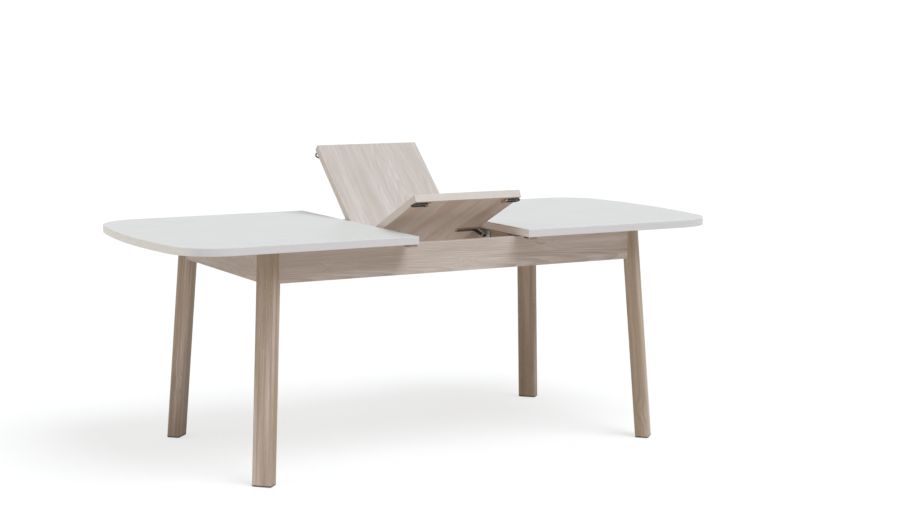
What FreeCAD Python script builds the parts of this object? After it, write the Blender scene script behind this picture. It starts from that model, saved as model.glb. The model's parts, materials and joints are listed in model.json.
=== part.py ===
"""Butterfly leaf dining table, drawn open with its folding leaf half raised.

Millimetres, +Z up, origin on the floor under the middle of the table. The long
way of the table is X and its front is at -Y. Each half of the top slides along
X. The leaf is two hinged boards that turn up on a pivot between two cross rails.
"""
import FreeCAD
import Part
import Sketcher
import math
import os
import re
from collections import defaultdict

# Driving dimensions: name, size, meaning
SIZES = (
    ("table_height", 750, "floor to the face of the top"),
    ("table_width", 880, "across the top"),
    ("half_length", 800, "length of each half of the top"),
    ("top_thickness", 25, "panel of the top"),
    ("end_bow", 55, "rise of the bowed end over the full width"),
    ("corner_radius", 158, "round corner between side and bowed end"),
    ("rim_easing", 1.5, "rounding along the rim of the top"),
    ("leaf_width", 385, "leaf along the length of the table"),
    ("leaf_thickness", 25, "boards of the leaf"),
    ("leaf_easing", 1, "rounding along the outer edges of the leaf"),
    ("seam_gap", 0.2, "gap between the two boards of the leaf"),
    ("rest_tilt", 25, "turn of the front board as drawn, in degrees"),
    ("rest_fold", 67.5, "fold between the boards as drawn, in degrees"),
    ("open_clearance", 2, "prong tips to the open halves of the top"),
    ("end_overhang", 92, "end of the closed top to the centre of a foot"),
    ("side_overhang", 61, "side of the top to the centre of a foot"),
    ("leg_lean", 0.058, "inward lean along each axis for each unit of height"),
    ("leg_face", 65, "broad outward face of a leg"),
    ("leg_depth", 46.5, "depth of a leg along its diagonal"),
    ("leg_round", 8, "rounding of the long edges of a leg"),
    ("foot_easing", 2, "rounding under a leg"),
    ("glide_radius", 14, "nylon glide under a leg"),
    ("glide_thickness", 3, "glide, let into the leg"),
    ("glide_proud", 1.5, "glide standing out of the leg"),
    ("glide_clearance", 0.3, "glide in its recess"),
    ("apron_height", 100, "depth of an apron board"),
    ("apron_thickness", 21, "apron board"),
    ("apron_setback", 19, "centre of a foot to the outer apron face"),
    ("apron_easing", 1, "rounding along the apron edges"),
    ("top_gap", 5, "slit between aprons and top"),
    ("pad_length", 60, "sliding pad on an apron"),
    ("pad_width", 12, "sliding pad on an apron"),
    ("pad_clearance", 0.3, "sliding pad to the top"),
    ("pad_inset", 90, "cut edge of the open top to the first pad"),
    ("pad_pitch", 190, "first pad to second pad"),
    ("block_depth", 45, "corner block behind a leg"),
    ("block_lift", 4, "apron edge to the corner block"),
    ("block_screw_grip", 12, "wood between screw head and apron"),
    ("block_screw_length", 25, "screw from corner block to apron"),
    ("bolt_radius", 4, "hanger bolt"),
    ("bolt_in_leg", 30, "thread in the leg"),
    ("bolt_spacing", 24, "upper bolt to lower bolt"),
    ("bolt_tail", 3, "bolt past its nut"),
    ("bolt_clearance", 0.3, "bolt in corner block and washer"),
    ("washer_radius", 9, "hanger bolt washer"),
    ("washer_thickness", 1.6, "hanger bolt washer"),
    ("nut_radius", 7.5, "hanger bolt nut, across corners"),
    ("nut_height", 6.5, "hanger bolt nut"),
    ("thread_clearance", 0.02, "thread in nut, bush in eye, wire in saddle"),
    ("screw_radius", 2, "wood screw"),
    ("screw_length", 16, "wood screw under its head"),
    ("screw_head_radius", 4, "wood screw"),
    ("screw_head_height", 2.2, "wood screw"),
    ("screw_clearance", 0.05, "screw in its hole"),
    ("channel_depth", 16, "slide channel on the long apron"),
    ("channel_height", 40, "slide channel"),
    ("channel_wall", 2, "slide channel"),
    ("channel_lip", 8, "turned edge of the channel"),
    ("channel_drop", 8, "apron edge to the channel"),
    ("channel_clearance", 2, "channel to the wood below it"),
    ("channel_screw_inset", 70, "end of a channel to its last screw"),
    ("slide_play", 0.3, "runner in its channel"),
    ("runner_length", 370, "runner under each half of the top"),
    ("runner_back_gap", 3, "runner to the back of the channel, over screw heads"),
    ("runner_web", 16, "runner web in the mouth of the channel"),
    ("runner_wall", 3, "runner upstand and flange"),
    ("runner_standoff", 3, "upstand to the mouth of the channel"),
    ("runner_flange", 30, "runner flange under the top"),
    ("runner_screw_inset", 30, "end of a runner to its first screw"),
    ("stop_length", 12, "stop at the end of a channel"),
    ("channel_end_gap", 24, "end of a channel to the leg"),
    ("rail_thickness", 24, "cross rail"),
    ("rail_lift", 20, "apron edge to the cross rail"),
    ("rail_notch_gap", 5, "runner flange to the notched rail"),
    ("angle_leg", 30, "angle between rail and apron"),
    ("angle_height", 24, "angle"),
    ("angle_thickness", 2, "angle"),
    ("angle_lift", 4, "rail edge to the angle"),
    ("angle_screw_inset", 9, "end of an angle to its screw"),
    ("pivot_y", -130, "leaf pivot across the table"),
    ("pivot_drop", 21, "leaf pivot below the flat leaf"),
    ("pin_radius", 5, "pivot pin"),
    ("pin_clearance", 0.05, "pivot pin in its bush"),
    ("pin_nut_radius", 9, "pivot pin nut, across corners"),
    ("pin_nut_height", 6, "pivot pin nut"),
    ("pin_tail", 2, "pivot pin past its nut"),
    ("bush_radius", 7, "outside of the pivot bush"),
    ("eye_standoff", 1.5, "open top edge to the pivot eye"),
    ("eye_length", 8.2, "pivot eye along its pin"),
    ("eye_wall", 1.2, "closed end of the pivot eye"),
    ("side_play", 0.3, "pivot eye to its plate and to the end of its pin"),
    ("plate_thickness", 4, "pivot plate on a rail"),
    ("plate_length", 80, "pivot plate"),
    ("plate_height", 26, "pivot plate"),
    ("plate_screw_inset", 12, "end of a pivot plate to its screw"),
    ("arm_width", 22, "pivot arm and its eye"),
    ("arm_thickness", 5, "pivot arm"),
    ("arm_length", 74, "flat of the pivot arm under the leaf"),
    ("arm_bend_inset", 8.5, "leaf side to the bend of the arm"),
    ("arm_bend_shift", 2, "lower bend behind the upper bend"),
    ("arm_screw_inset", 16, "end of the arm's flat to its screw"),
    ("hinge_length", 60, "leaf hinge"),
    ("hinge_pitch", 130, "leaf hinge to leaf hinge"),
    ("hinge_plate", 1.5, "leaf hinge plate thickness"),
    ("hinge_height", 22, "leaf hinge plate below its pin"),
    ("knuckle_radius", 2.5, "leaf hinge knuckle"),
    ("knuckle_gap", 0.4, "knuckle to knuckle"),
    ("knuckle_clearance", 0.6, "knuckle to board and plate"),
    ("hinge_pin_radius", 1.2, "leaf hinge pin"),
    ("hinge_clearance", 0.05, "leaf hinge pin, and plate in its recess"),
    ("hinge_screw_radius", 1.3, "leaf hinge screw"),
    ("hinge_screw_length", 12, "leaf hinge screw under its head"),
    ("hinge_screw_head_radius", 2.6, "leaf hinge screw"),
    ("hinge_screw_head_height", 1, "leaf hinge screw, sunk flush"),
    ("hinge_screw_spread", 36, "leaf hinge screws apart"),
    ("hinge_screw_drop", 13, "leaf hinge pin to its screws"),
    ("prong_radius", 2.5, "locking prong wire"),
    ("prong_reach", 7.5, "prong past the side of the leaf"),
    ("prong_grip", 54.5, "prong under the leaf, from its saddle"),
    ("prong_pitch", 22, "wire to wire in one prong"),
    ("prong_edge", 24, "table side to the middle of a prong"),
    ("prong_drop", 2.7, "leaf underside to the wire centre"),
    ("prong_clearance", 0.3, "prong in its socket"),
    ("socket_length", 32, "prong socket under the top"),
    ("socket_width", 36, "prong socket"),
    ("socket_height", 8.5, "prong socket"),
    ("socket_inset", 2, "cut edge of the top to the socket"),
    ("socket_slot", 16, "depth of the slot that takes a prong"),
    ("socket_screw_inset", 8, "outer end of a socket to its screws"),
    ("socket_screw_pitch", 18, "screws across a socket"),
    ("saddle_length", 8, "saddle over the inner ends of a prong"),
    ("saddle_width", 30, "saddle over a prong"),
    ("saddle_height", 7.5, "saddle over a prong"),
)

# Places worked out from the driving dimensions: name, formula
PLACES = (
    ("half_width", "table_width / 2"),
    ("foot_x", "half_length - end_overhang"),
    ("foot_y", "half_width - side_overhang"),
    ("top_underside", "table_height - top_thickness"),
    ("leaf_half", "leaf_width / 2"),
    ("leaf_underside", "table_height - leaf_thickness"),
    ("cut_x", "leaf_half + prong_reach + open_clearance"),
    ("end_x", "cut_x + half_length"),
    ("end_radius", "(half_width ^ 2 + end_bow ^ 2) / (2 * end_bow)"),
    ("end_centre", "end_x - end_radius"),
    ("corner_y", "half_width - corner_radius"),
    ("corner_x", "end_centre + sqrt((end_radius - corner_radius) ^ 2 - corner_y ^ 2)"),
    ("arc_share", "end_radius / (end_radius - corner_radius)"),
    ("arc_x", "end_centre + (corner_x - end_centre) * arc_share"),
    ("arc_y", "corner_y * arc_share"),
    ("leg_side", "leg_face / sqrt(2)"),
    ("leg_slope", "leg_lean * sqrt(2)"),
    ("apron_top", "top_underside - top_gap"),
    ("apron_bottom", "apron_top - apron_height"),
    ("apron_outer_x", "foot_x - apron_setback"),
    ("apron_inner_x", "apron_outer_x - apron_thickness"),
    ("apron_outer_y", "foot_y - apron_setback"),
    ("apron_inner_y", "apron_outer_y - apron_thickness"),
    ("apron_middle_y", "apron_outer_y - apron_thickness / 2"),
    ("channel_top", "apron_top - channel_drop"),
    ("channel_bottom", "channel_top - channel_height"),
    ("channel_middle", "channel_top - channel_height / 2"),
    ("channel_mouth", "apron_inner_y - channel_depth"),
    ("ledge_z", "channel_bottom - channel_clearance"),
    ("block_bottom", "apron_bottom + block_lift"),
    ("block_middle", "(block_bottom + ledge_z) / 2"),
    ("block_reach", "leg_side + block_depth * sqrt(2)"),
    ("block_fix", "leg_side + block_depth / sqrt(2)"),
    ("block_back", "-((apron_setback + apron_thickness) * sqrt(2) + leg_face / 2 + block_depth)"),
    ("bolt_tip", "bolt_in_leg - leg_depth / 2 - leg_slope * block_middle"),
    ("nut_start", "block_back - washer_thickness"),
    ("bolt_end", "nut_start - nut_height - bolt_tail"),
    ("eye_x", "cut_x + eye_standoff"),
    ("plate_x", "eye_x + eye_length + side_play"),
    ("rail_inner", "plate_x + plate_thickness"),
    ("rail_outer", "rail_inner + rail_thickness"),
    ("rail_bottom", "apron_bottom + rail_lift"),
    ("angle_bottom", "rail_bottom + angle_lift"),
    ("angle_middle", "angle_bottom + angle_height / 2"),
    ("bar_front", "channel_mouth + channel_wall + slide_play"),
    ("bar_back", "apron_inner_y - channel_wall - runner_back_gap"),
    ("bar_top", "channel_top - channel_wall - slide_play"),
    ("bar_bottom", "channel_bottom + channel_wall + slide_play"),
    ("web_top", "channel_middle + runner_web / 2"),
    ("web_bottom", "channel_middle - runner_web / 2"),
    ("upstand_outer", "channel_mouth - runner_standoff"),
    ("upstand_inner", "upstand_outer - runner_wall"),
    ("flange_edge", "upstand_outer - runner_flange"),
    ("flange_under", "top_underside - runner_wall"),
    ("flange_middle", "(upstand_inner + flange_edge) / 2"),
    ("channel_end", "apron_inner_x - leg_side - channel_end_gap"),
    ("stop_x", "channel_end - stop_length"),
    ("channel_screw_pitch", "(channel_end - channel_screw_inset) / 2"),
    ("runner_end", "stop_x - slide_play"),
    ("runner_start", "runner_end - runner_length"),
    ("notch_y", "flange_edge - rail_notch_gap"),
    ("pivot_z", "leaf_underside - pivot_drop"),
    ("bore_x", "eye_x + eye_wall"),
    ("bore_length", "eye_length - eye_wall"),
    ("pin_start", "bore_x + side_play"),
    ("pin_end", "rail_outer + pin_nut_height + pin_tail"),
    ("arm_bend", "leaf_half - arm_bend_inset"),
    ("arm_start", "arm_bend - arm_length"),
    ("arm_under", "leaf_underside - arm_thickness"),
    ("seam_half", "seam_gap / 2"),
    ("plate_back", "seam_half + hinge_plate"),
    ("hinge_bottom", "table_height - hinge_height"),
    ("knuckle_bore", "knuckle_radius + knuckle_clearance"),
    ("knuckle_length", "hinge_length / 3 - knuckle_gap / 2"),
    ("prong_y", "half_width - prong_edge"),
    ("prong_z", "leaf_underside - prong_drop"),
    ("prong_start", "leaf_half - prong_grip"),
    ("prong_bend", "leaf_half + prong_reach - prong_radius - prong_pitch / 2"),
    ("prong_run", "prong_bend - prong_start"),
    ("slot_half", "prong_pitch / 2 + prong_radius + prong_clearance"),
    ("slot_rise", "prong_radius + prong_clearance"),
    ("socket_start", "cut_x + socket_inset"),
    ("socket_under", "top_underside - socket_height"),
    ("saddle_x", "prong_start + saddle_length / 2"),
    ("saddle_under", "leaf_underside - saddle_height"),
)

SIDES = {"left": -1, "right": 1}
ENDS = {"front": -1, "back": 1}
CORNERS = [(end, side) for end in ENDS for side in SIDES]
X_AXIS = FreeCAD.Vector(1, 0, 0)
Y_AXIS = FreeCAD.Vector(0, 1, 0)
Z_AXIS = FreeCAD.Vector(0, 0, 1)
NO_TURN = FreeCAD.Placement()
TURNS = {
    "x": FreeCAD.Rotation(Y_AXIS, 90),
    "-x": FreeCAD.Rotation(Y_AXIS, -90),
    "y": FreeCAD.Rotation(X_AXIS, -90),
    "-y": FreeCAD.Rotation(X_AXIS, 90),
    "z": FreeCAD.Rotation(),
    "-z": FreeCAD.Rotation(X_AXIS, 180),
}
FLAT = 1e-6

doc = FreeCAD.newDocument("butterfly_leaf_table")
sheet_of = {}
pieces = {}
holes = defaultdict(list)


def fill_sheet(name, rows, mark):
    """Write named values, or formulas of them, into a sheet of their own."""
    sheet = doc.addObject("Spreadsheet::Sheet", name)
    for row, (alias, content, *meaning) in enumerate(rows, start=1):
        sheet.set(f"A{row}", alias)
        sheet.set(f"B{row}", mark + named(str(content)))
        sheet.setAlias(f"B{row}", alias)
        sheet.set(f"C{row}", " ".join(meaning))
        sheet_of[alias] = name
    doc.recompute()


def named(text):
    """An expression with each named value's sheet written before it."""
    def place(word):
        sheet = sheet_of.get(word[0])
        return f"{sheet}.{word[0]}" if sheet else word[0]
    return re.sub(r"[a-z]\w*", place, text)


def value(text):
    """The number that an expression stands for."""
    return float(doc.getObject("places").evalExpression(named(text)))


def along(letter, sign):
    """The name of an axis that points the way of a sign."""
    return letter if sign > 0 else "-" + letter


def bind(item, **sizes):
    """Tie properties to expressions of the sheets' values."""
    for name, text in sizes.items():
        item.setExpression(name, named(text))
    return item


def move(item, start):
    """Tie the place of a primitive to three expressions."""
    for letter, text in zip("xyz", start):
        item.setExpression(f"Placement.Base.{letter}", named(text))
    return item


def box(name, first, last):
    """A block between two opposite corners."""
    block = doc.addObject("Part::Box", name)
    spans = [f"abs(({high}) - ({low}))" for low, high in zip(first, last)]
    bind(block, Length=spans[0], Width=spans[1], Height=spans[2])
    return move(block, [f"min({low}; {high})" for low, high in zip(first, last)])


def rod(name, radius, start, length, axis):
    """A round bar from a start point along an axis."""
    bar = doc.addObject("Part::Cylinder", name)
    bar.Placement = FreeCAD.Placement(FreeCAD.Vector(), TURNS[axis])
    bind(bar, Radius=radius, Height=length)
    return move(bar, start)


def hexagon(name, radius, start, length, axis):
    """A six-sided bar from a start point along an axis."""
    bar = doc.addObject("Part::Prism", name)
    bar.Polygon = 6
    bar.Placement = FreeCAD.Placement(FreeCAD.Vector(), TURNS[axis])
    bind(bar, Circumradius=radius, Height=length)
    return move(bar, start)


def group(name, items, place=NO_TURN):
    """Separate solids kept together and placed as one."""
    bundle = doc.addObject("Part::Compound", name)
    bundle.Links = items
    bundle.Placement = place
    return bundle


def fuse(name, items):
    """Solids joined into one."""
    joined = doc.addObject("Part::MultiFuse", name)
    joined.Shapes = items
    return joined


def cut(name, base, tools):
    """A solid less one or more others."""
    rest = doc.addObject("Part::Cut", name)
    rest.Base = base
    rest.Tool = tools[0] if len(tools) == 1 else group(name + "_tools", tools)
    return rest


def arc(first, last, radius, turn):
    """The short arc between two points, to the left for a turn above zero."""
    chord = last - first
    rise = math.sqrt(radius ** 2 - (chord.Length / 2) ** 2) / chord.Length
    centre = (first + last) * 0.5 + FreeCAD.Vector(-chord.y, chord.x, 0) * (rise * turn)
    ends = [first - centre, last - centre]
    if turn < 0:
        ends.reverse()
    angles = [math.atan2(end.y, end.x) for end in ends]
    return Part.ArcOfCircle(Part.Circle(centre, Z_AXIS, radius), *angles)


def outline(body, plane, start, points):
    """A closed sketch of straight runs and arcs on one of a body's own planes.

    A point is two expressions. A third and fourth value make the run to the
    next point an arc: its radius and the way it turns.
    """
    sketch = body.newObject("Sketcher::SketchObject", body.Name + "_outline")
    support = [item for item in body.Origin.OriginFeatures if item.Role == plane]
    sketch.AttachmentSupport = (support[0], [""])
    sketch.MapMode = "FlatFace"
    sketch.setExpression("AttachmentOffset.Base.z", named(start))
    spots = [FreeCAD.Vector(value(point[0]), value(point[1]), 0) for point in points]
    heads = []
    for spot, following, point in zip(spots, spots[1:] + spots[:1], points):
        if len(point) == 2:
            sketch.addGeometry(Part.LineSegment(spot, following))
            heads.append(1)
        else:
            sketch.addGeometry(arc(spot, following, value(point[2]), point[3]))
            heads.append(1 if point[3] > 0 else 2)
    for run, (spot, point) in enumerate(zip(spots, points)):
        after = (run + 1) % len(points)
        tail = 3 - heads[run]
        sketch.addConstraint(Sketcher.Constraint("Coincident", run, tail, after, heads[after]))
        rules = [("DistanceX", spot.x, point[0]), ("DistanceY", spot.y, point[1])]
        for kind, size, text in rules:
            rule = sketch.addConstraint(Sketcher.Constraint(kind, run, heads[run], size))
            sketch.setExpression(f"Constraints[{rule}]", named(text))
        if len(point) > 2:
            size = value(point[2])
            rule = sketch.addConstraint(Sketcher.Constraint("Radius", run, size))
            sketch.setExpression(f"Constraints[{rule}]", named(point[2]))
    return sketch


def prism(name, plane, start, points, depth):
    """A body padded from an outline, from a start along the plane's normal."""
    body = doc.addObject("PartDesign::Body", name)
    sketch = outline(body, plane, start, points)
    pad = body.newObject("PartDesign::Pad", name + "_pad")
    pad.Profile = sketch
    pad.setExpression("Length", named(depth))
    sketch.Visibility = False
    body.Tip = pad
    return body


def ease(body, radius, wanted):
    """Round the edges of a body that a test picks out."""
    doc.recompute()
    padded = body.Tip
    edges = enumerate(padded.Shape.Edges, start=1)
    picked = [f"Edge{number}" for number, edge in edges if wanted(edge.BoundBox)]
    rounding = body.newObject("PartDesign::Fillet", body.Name + "_easing")
    rounding.Base = (padded, picked)
    rounding.setExpression("Radius", named(radius))
    body.Tip = rounding


def piece(name, blank, pose=NO_TURN):
    """Enter a sub-part, to be drilled and placed when all fixings are known."""
    pieces[name] = (blank, pose)


def screw(name, kind, length, seat, axis):
    """A screw whose head bears on a seat, and the hole that it needs."""
    letter = axis[-1]
    sign = -1 if axis.startswith("-") else 1
    back = along(letter, -sign)
    shank = rod(name + "_shank", f"{kind}_radius", seat, length, axis)
    head = rod(name + "_head", f"{kind}_head_radius", seat, f"{kind}_head_height", back)
    bore = rod(name + "_bore", f"{kind}_radius + screw_clearance", seat,
               f"{length} + screw_clearance", axis)
    sink = rod(name + "_sink", f"{kind}_head_radius + screw_clearance", seat,
               "block_screw_length", back)
    return fuse(name, [shank, head]), fuse(name + "_hole", [bore, sink])


def screws(name, seats, kind="screw", length="", pose=NO_TURN):
    """A set of like screws: each seat is a point, an axis and the pieces it joins."""
    made = []
    for number, (seat, axis, joined) in enumerate(seats):
        solid, hole = screw(f"{name}_{number}", kind, length or f"{kind}_length", seat, axis)
        made.append(solid)
        for other in joined:
            holes[other].append(hole)
    piece(name, group(name + "_set", made), pose)


def make_tops():
    """Two halves of the top, each with two straight sides and a bowed end."""
    for side, sx in SIDES.items():
        points = [
            (f"{sx} * cut_x", "-half_width"),
            (f"{sx} * corner_x", "-half_width", "corner_radius", sx),
            (f"{sx} * arc_x", "-arc_y", "end_radius", sx),
            (f"{sx} * arc_x", "arc_y", "corner_radius", sx),
            (f"{sx} * corner_x", "half_width"),
            (f"{sx} * cut_x", "half_width"),
        ]
        top = prism(f"{side}_top_blank", "XY_Plane", "top_underside", points, "top_thickness")
        cut_face = sx * value("cut_x")

        def on_rim(span):
            on_cut = abs(span.XMin - cut_face) < FLAT and span.XLength < FLAT
            return span.ZLength < FLAT and not on_cut
        ease(top, "rim_easing", on_rim)
        piece(f"{side}_top", top)


def leg_points():
    """The section of a leg, its depth along X, round at its four edges."""
    middle = "-leg_slope * glide_proud"
    face = "leg_depth / 2"
    face_end = "(leg_depth / 2 - leg_round)"
    side = "leg_face / 2"
    side_end = "(leg_face / 2 - leg_round)"
    return [
        (f"{middle} + {face}", f"-{side_end}"),
        (f"{middle} + {face}", side_end, "leg_round", 1),
        (f"{middle} + {face_end}", side),
        (f"{middle} - {face_end}", side, "leg_round", 1),
        (f"{middle} - {face}", side_end),
        (f"{middle} - {face}", f"-{side_end}", "leg_round", 1),
        (f"{middle} - {face_end}", f"-{side}"),
        (f"{middle} + {face_end}", f"-{side}", "leg_round", 1),
    ]


def corner_place(end, side):
    """A turn and shift that lay X along the diagonal out through a foot."""
    sx = SIDES[side]
    sy = ENDS[end]
    foot = FreeCAD.Vector(sx * value("foot_x"), sy * value("foot_y"), 0)
    return FreeCAD.Placement(foot, FreeCAD.Rotation(Z_AXIS, math.degrees(math.atan2(sy, sx))))


def at_corners(name, items):
    """Copies of solids at the four corners of the table."""
    return [
        group(f"{name}_{end}_{side}", items, corner_place(end, side))
        for end, side in CORNERS
    ]


def make_legs():
    """Four legs that lean in along the diagonals, each on a let-in glide."""
    origin = ("0", "0", "0")
    glide = rod("glide", "glide_radius", origin, "glide_thickness", "z")
    recess = rod("recess", "glide_radius + glide_clearance", origin, "glide_thickness", "z")
    piece("foot_glides", group("foot_glides_set", at_corners("glide_at", [glide])))
    floor = value("glide_proud")

    def under(span):
        return abs(span.ZMax - floor) < FLAT
    for end, side in CORNERS:
        name = f"leg_{end}_{side}"
        height = "apron_top - glide_proud"
        leg = prism(name + "_blank", "XY_Plane", "glide_proud", leg_points(), height)
        leg.Tip.UseCustomVector = True
        leg.Tip.AlongSketchNormal = True
        leg.Tip.Direction = FreeCAD.Vector(-value("leg_slope"), 0, 1)
        ease(leg, "foot_easing", under)
        holes[name].append(recess)
        piece(name, leg, corner_place(end, side))


def make_aprons():
    """Four apron boards mitred against the sides of the legs."""
    for end, sy in ENDS.items():
        points = [
            ("-(apron_outer_x - leg_side)", f"{sy} * apron_outer_y"),
            ("apron_outer_x - leg_side", f"{sy} * apron_outer_y"),
            ("apron_inner_x - leg_side", f"{sy} * apron_inner_y"),
            ("-(apron_inner_x - leg_side)", f"{sy} * apron_inner_y"),
        ]
        add_apron(f"apron_{end}", points, lambda span: span.XLength)
    for side, sx in SIDES.items():
        points = [
            (f"{sx} * apron_outer_x", "-(apron_outer_y - leg_side)"),
            (f"{sx} * apron_outer_x", "apron_outer_y - leg_side"),
            (f"{sx} * apron_inner_x", "apron_inner_y - leg_side"),
            (f"{sx} * apron_inner_x", "-(apron_inner_y - leg_side)"),
        ]
        add_apron(f"apron_{side}", points, lambda span: span.YLength)


def add_apron(name, points, length_of):
    """One apron board with its long edges eased."""
    board = prism(name + "_blank", "XY_Plane", "apron_bottom", points, "apron_height")
    thickness = value("apron_thickness")
    ease(board, "apron_easing", lambda span: length_of(span) > thickness + FLAT)
    piece(name, board)


def make_corner_blocks():
    """Blocks behind the legs, screwed to the aprons, with hanger bolts and nuts."""
    fixings = []
    for end, side in CORNERS:
        sx = SIDES[side]
        sy = ENDS[end]
        name = f"corner_block_{end}_{side}"
        points = [
            (f"{sx} * (apron_inner_x - leg_side)", f"{sy} * apron_inner_y"),
            (f"{sx} * (apron_inner_x - block_reach)", f"{sy} * apron_inner_y"),
            (f"{sx} * apron_inner_x", f"{sy} * (apron_inner_y - block_reach)"),
            (f"{sx} * apron_inner_x", f"{sy} * (apron_inner_y - leg_side)"),
        ]
        block = prism(name + "_blank", "XY_Plane", "block_bottom", points, "ledge_z - block_bottom")
        piece(name, block)
        across = (f"{sx} * (apron_inner_x - block_fix)",
                  f"{sy} * (apron_inner_y - block_screw_grip)", "block_middle")
        lengthwise = (f"{sx} * (apron_inner_x - block_screw_grip)",
                      f"{sy} * (apron_inner_y - block_fix)", "block_middle")
        fixings.append((across, along("y", sy), (name, f"apron_{end}")))
        fixings.append((lengthwise, along("x", sx), (name, f"apron_{side}")))
    screws("block_screws", fixings, length="block_screw_length")
    make_hanger_bolts()


def make_hanger_bolts():
    """Two bolts in each leg that pull it against the aprons."""
    bolts = []
    washers = []
    nuts = []
    clear = []
    for level, sign in (("upper", 1), ("lower", -1)):
        height = f"block_middle + {sign} * bolt_spacing / 2"
        tip = ("bolt_tip", "0", height)
        back = ("block_back", "0", height)
        seat = ("nut_start", "0", height)
        length = "bolt_tip - bolt_end"
        bolts.append(rod(f"{level}_bolt", "bolt_radius", tip, length, "-x"))
        fit = rod(f"{level}_bolt_hole", "bolt_radius + screw_clearance", tip, length, "-x")
        loose = rod(f"{level}_bolt_way", "bolt_radius + bolt_clearance", tip, length, "-x")
        thread = rod(f"{level}_thread", "bolt_radius + thread_clearance", tip, length, "-x")
        disc = rod(f"{level}_disc", "washer_radius", back, "washer_thickness", "-x")
        hexed = hexagon(f"{level}_hexed", "nut_radius", seat, "nut_height", "-x")
        washers.append(cut(f"{level}_washer", disc, [loose]))
        nuts.append(cut(f"{level}_nut", hexed, [thread]))
        clear.append(loose)
        for end, side in CORNERS:
            holes[f"leg_{end}_{side}"].append(fit)
    for (end, side), way in zip(CORNERS, at_corners("bolt_ways", clear)):
        holes[f"corner_block_{end}_{side}"].append(way)
    for name, items in (("bolts", bolts), ("washers", washers), ("nuts", nuts)):
        copies = at_corners(f"hanger_{name}_at", items)
        piece(f"hanger_{name}", group(f"hanger_{name}_set", copies))


def make_channels():
    """Slide channels on the long aprons, with their screws and end stops."""
    fixings = []
    stops = []
    for end, sy in ENDS.items():
        name = f"slide_channel_{end}"
        outer = f"{sy} * apron_inner_y"
        inside = f"{sy} * (apron_inner_y - channel_wall)"
        mouth = f"{sy} * channel_mouth"
        lip = f"{sy} * (channel_mouth + channel_wall)"
        points = [
            (outer, "channel_bottom"),
            (outer, "channel_top"),
            (mouth, "channel_top"),
            (mouth, "channel_top - channel_lip"),
            (lip, "channel_top - channel_lip"),
            (lip, "channel_top - channel_wall"),
            (inside, "channel_top - channel_wall"),
            (inside, "channel_bottom + channel_wall"),
            (lip, "channel_bottom + channel_wall"),
            (lip, "channel_bottom + channel_lip"),
            (mouth, "channel_bottom + channel_lip"),
            (mouth, "channel_bottom"),
        ]
        piece(name, prism(name + "_blank", "YZ_Plane", "-channel_end", points, "2 * channel_end"))
        for step in (-2, -1, 0, 1, 2):
            seat = (f"{step} * channel_screw_pitch", inside, "channel_middle")
            fixings.append((seat, along("y", sy), (name, f"apron_{end}")))
        for side, sx in SIDES.items():
            stops.append(box(
                f"stop_{end}_{side}",
                (f"{sx} * stop_x", f"{sy} * bar_front", "bar_bottom"),
                (f"{sx} * channel_end", inside, "bar_top"),
            ))
    screws("channel_screws", fixings)
    piece("channel_stops", group("channel_stops_set", stops))


def make_runners():
    """Runners in the channels, screwed by their flanges to the halves of the top."""
    for side, sx in SIDES.items():
        fixings = []
        for end, sy in ENDS.items():
            name = f"{side}_runner_{end}"
            corners = [
                ("bar_back", "bar_bottom"),
                ("bar_back", "bar_top"),
                ("bar_front", "bar_top"),
                ("bar_front", "web_top"),
                ("upstand_outer", "web_top"),
                ("upstand_outer", "top_underside"),
                ("flange_edge", "top_underside"),
                ("flange_edge", "flange_under"),
                ("upstand_inner", "flange_under"),
                ("upstand_inner", "web_bottom"),
                ("bar_front", "web_bottom"),
                ("bar_front", "bar_bottom"),
            ]
            points = [(f"{sy} * {across}", height) for across, height in corners]
            start = "runner_start" if sx > 0 else "-runner_end"
            piece(name, prism(name + "_blank", "YZ_Plane", start, points, "runner_length"))
            near = "runner_start + runner_screw_inset"
            far = "runner_end - runner_screw_inset"
            for place in (near, f"({near} + {far}) / 2", far):
                seat = (f"{sx} * ({place})", f"{sy} * flange_middle", "flange_under")
                fixings.append((seat, "z", (name, f"{side}_top")))
        screws(f"{side}_runner_screws", fixings)


def make_pads():
    """Sliding pads on the long aprons under the halves of the top."""
    pads = []
    for side, sx in SIDES.items():
        for end, sy in ENDS.items():
            for step in (0, 1):
                near = f"cut_x + pad_inset + {step} * pad_pitch"
                pads.append(box(
                    f"pad_{side}_{end}_{step}",
                    (f"{sx} * ({near})", f"{sy} * apron_middle_y - pad_width / 2", "apron_top"),
                    (f"{sx} * ({near} + pad_length)", f"{sy} * apron_middle_y + pad_width / 2",
                     "top_underside - pad_clearance"),
                ))
    piece("glide_pads", group("glide_pads_set", pads))


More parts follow.
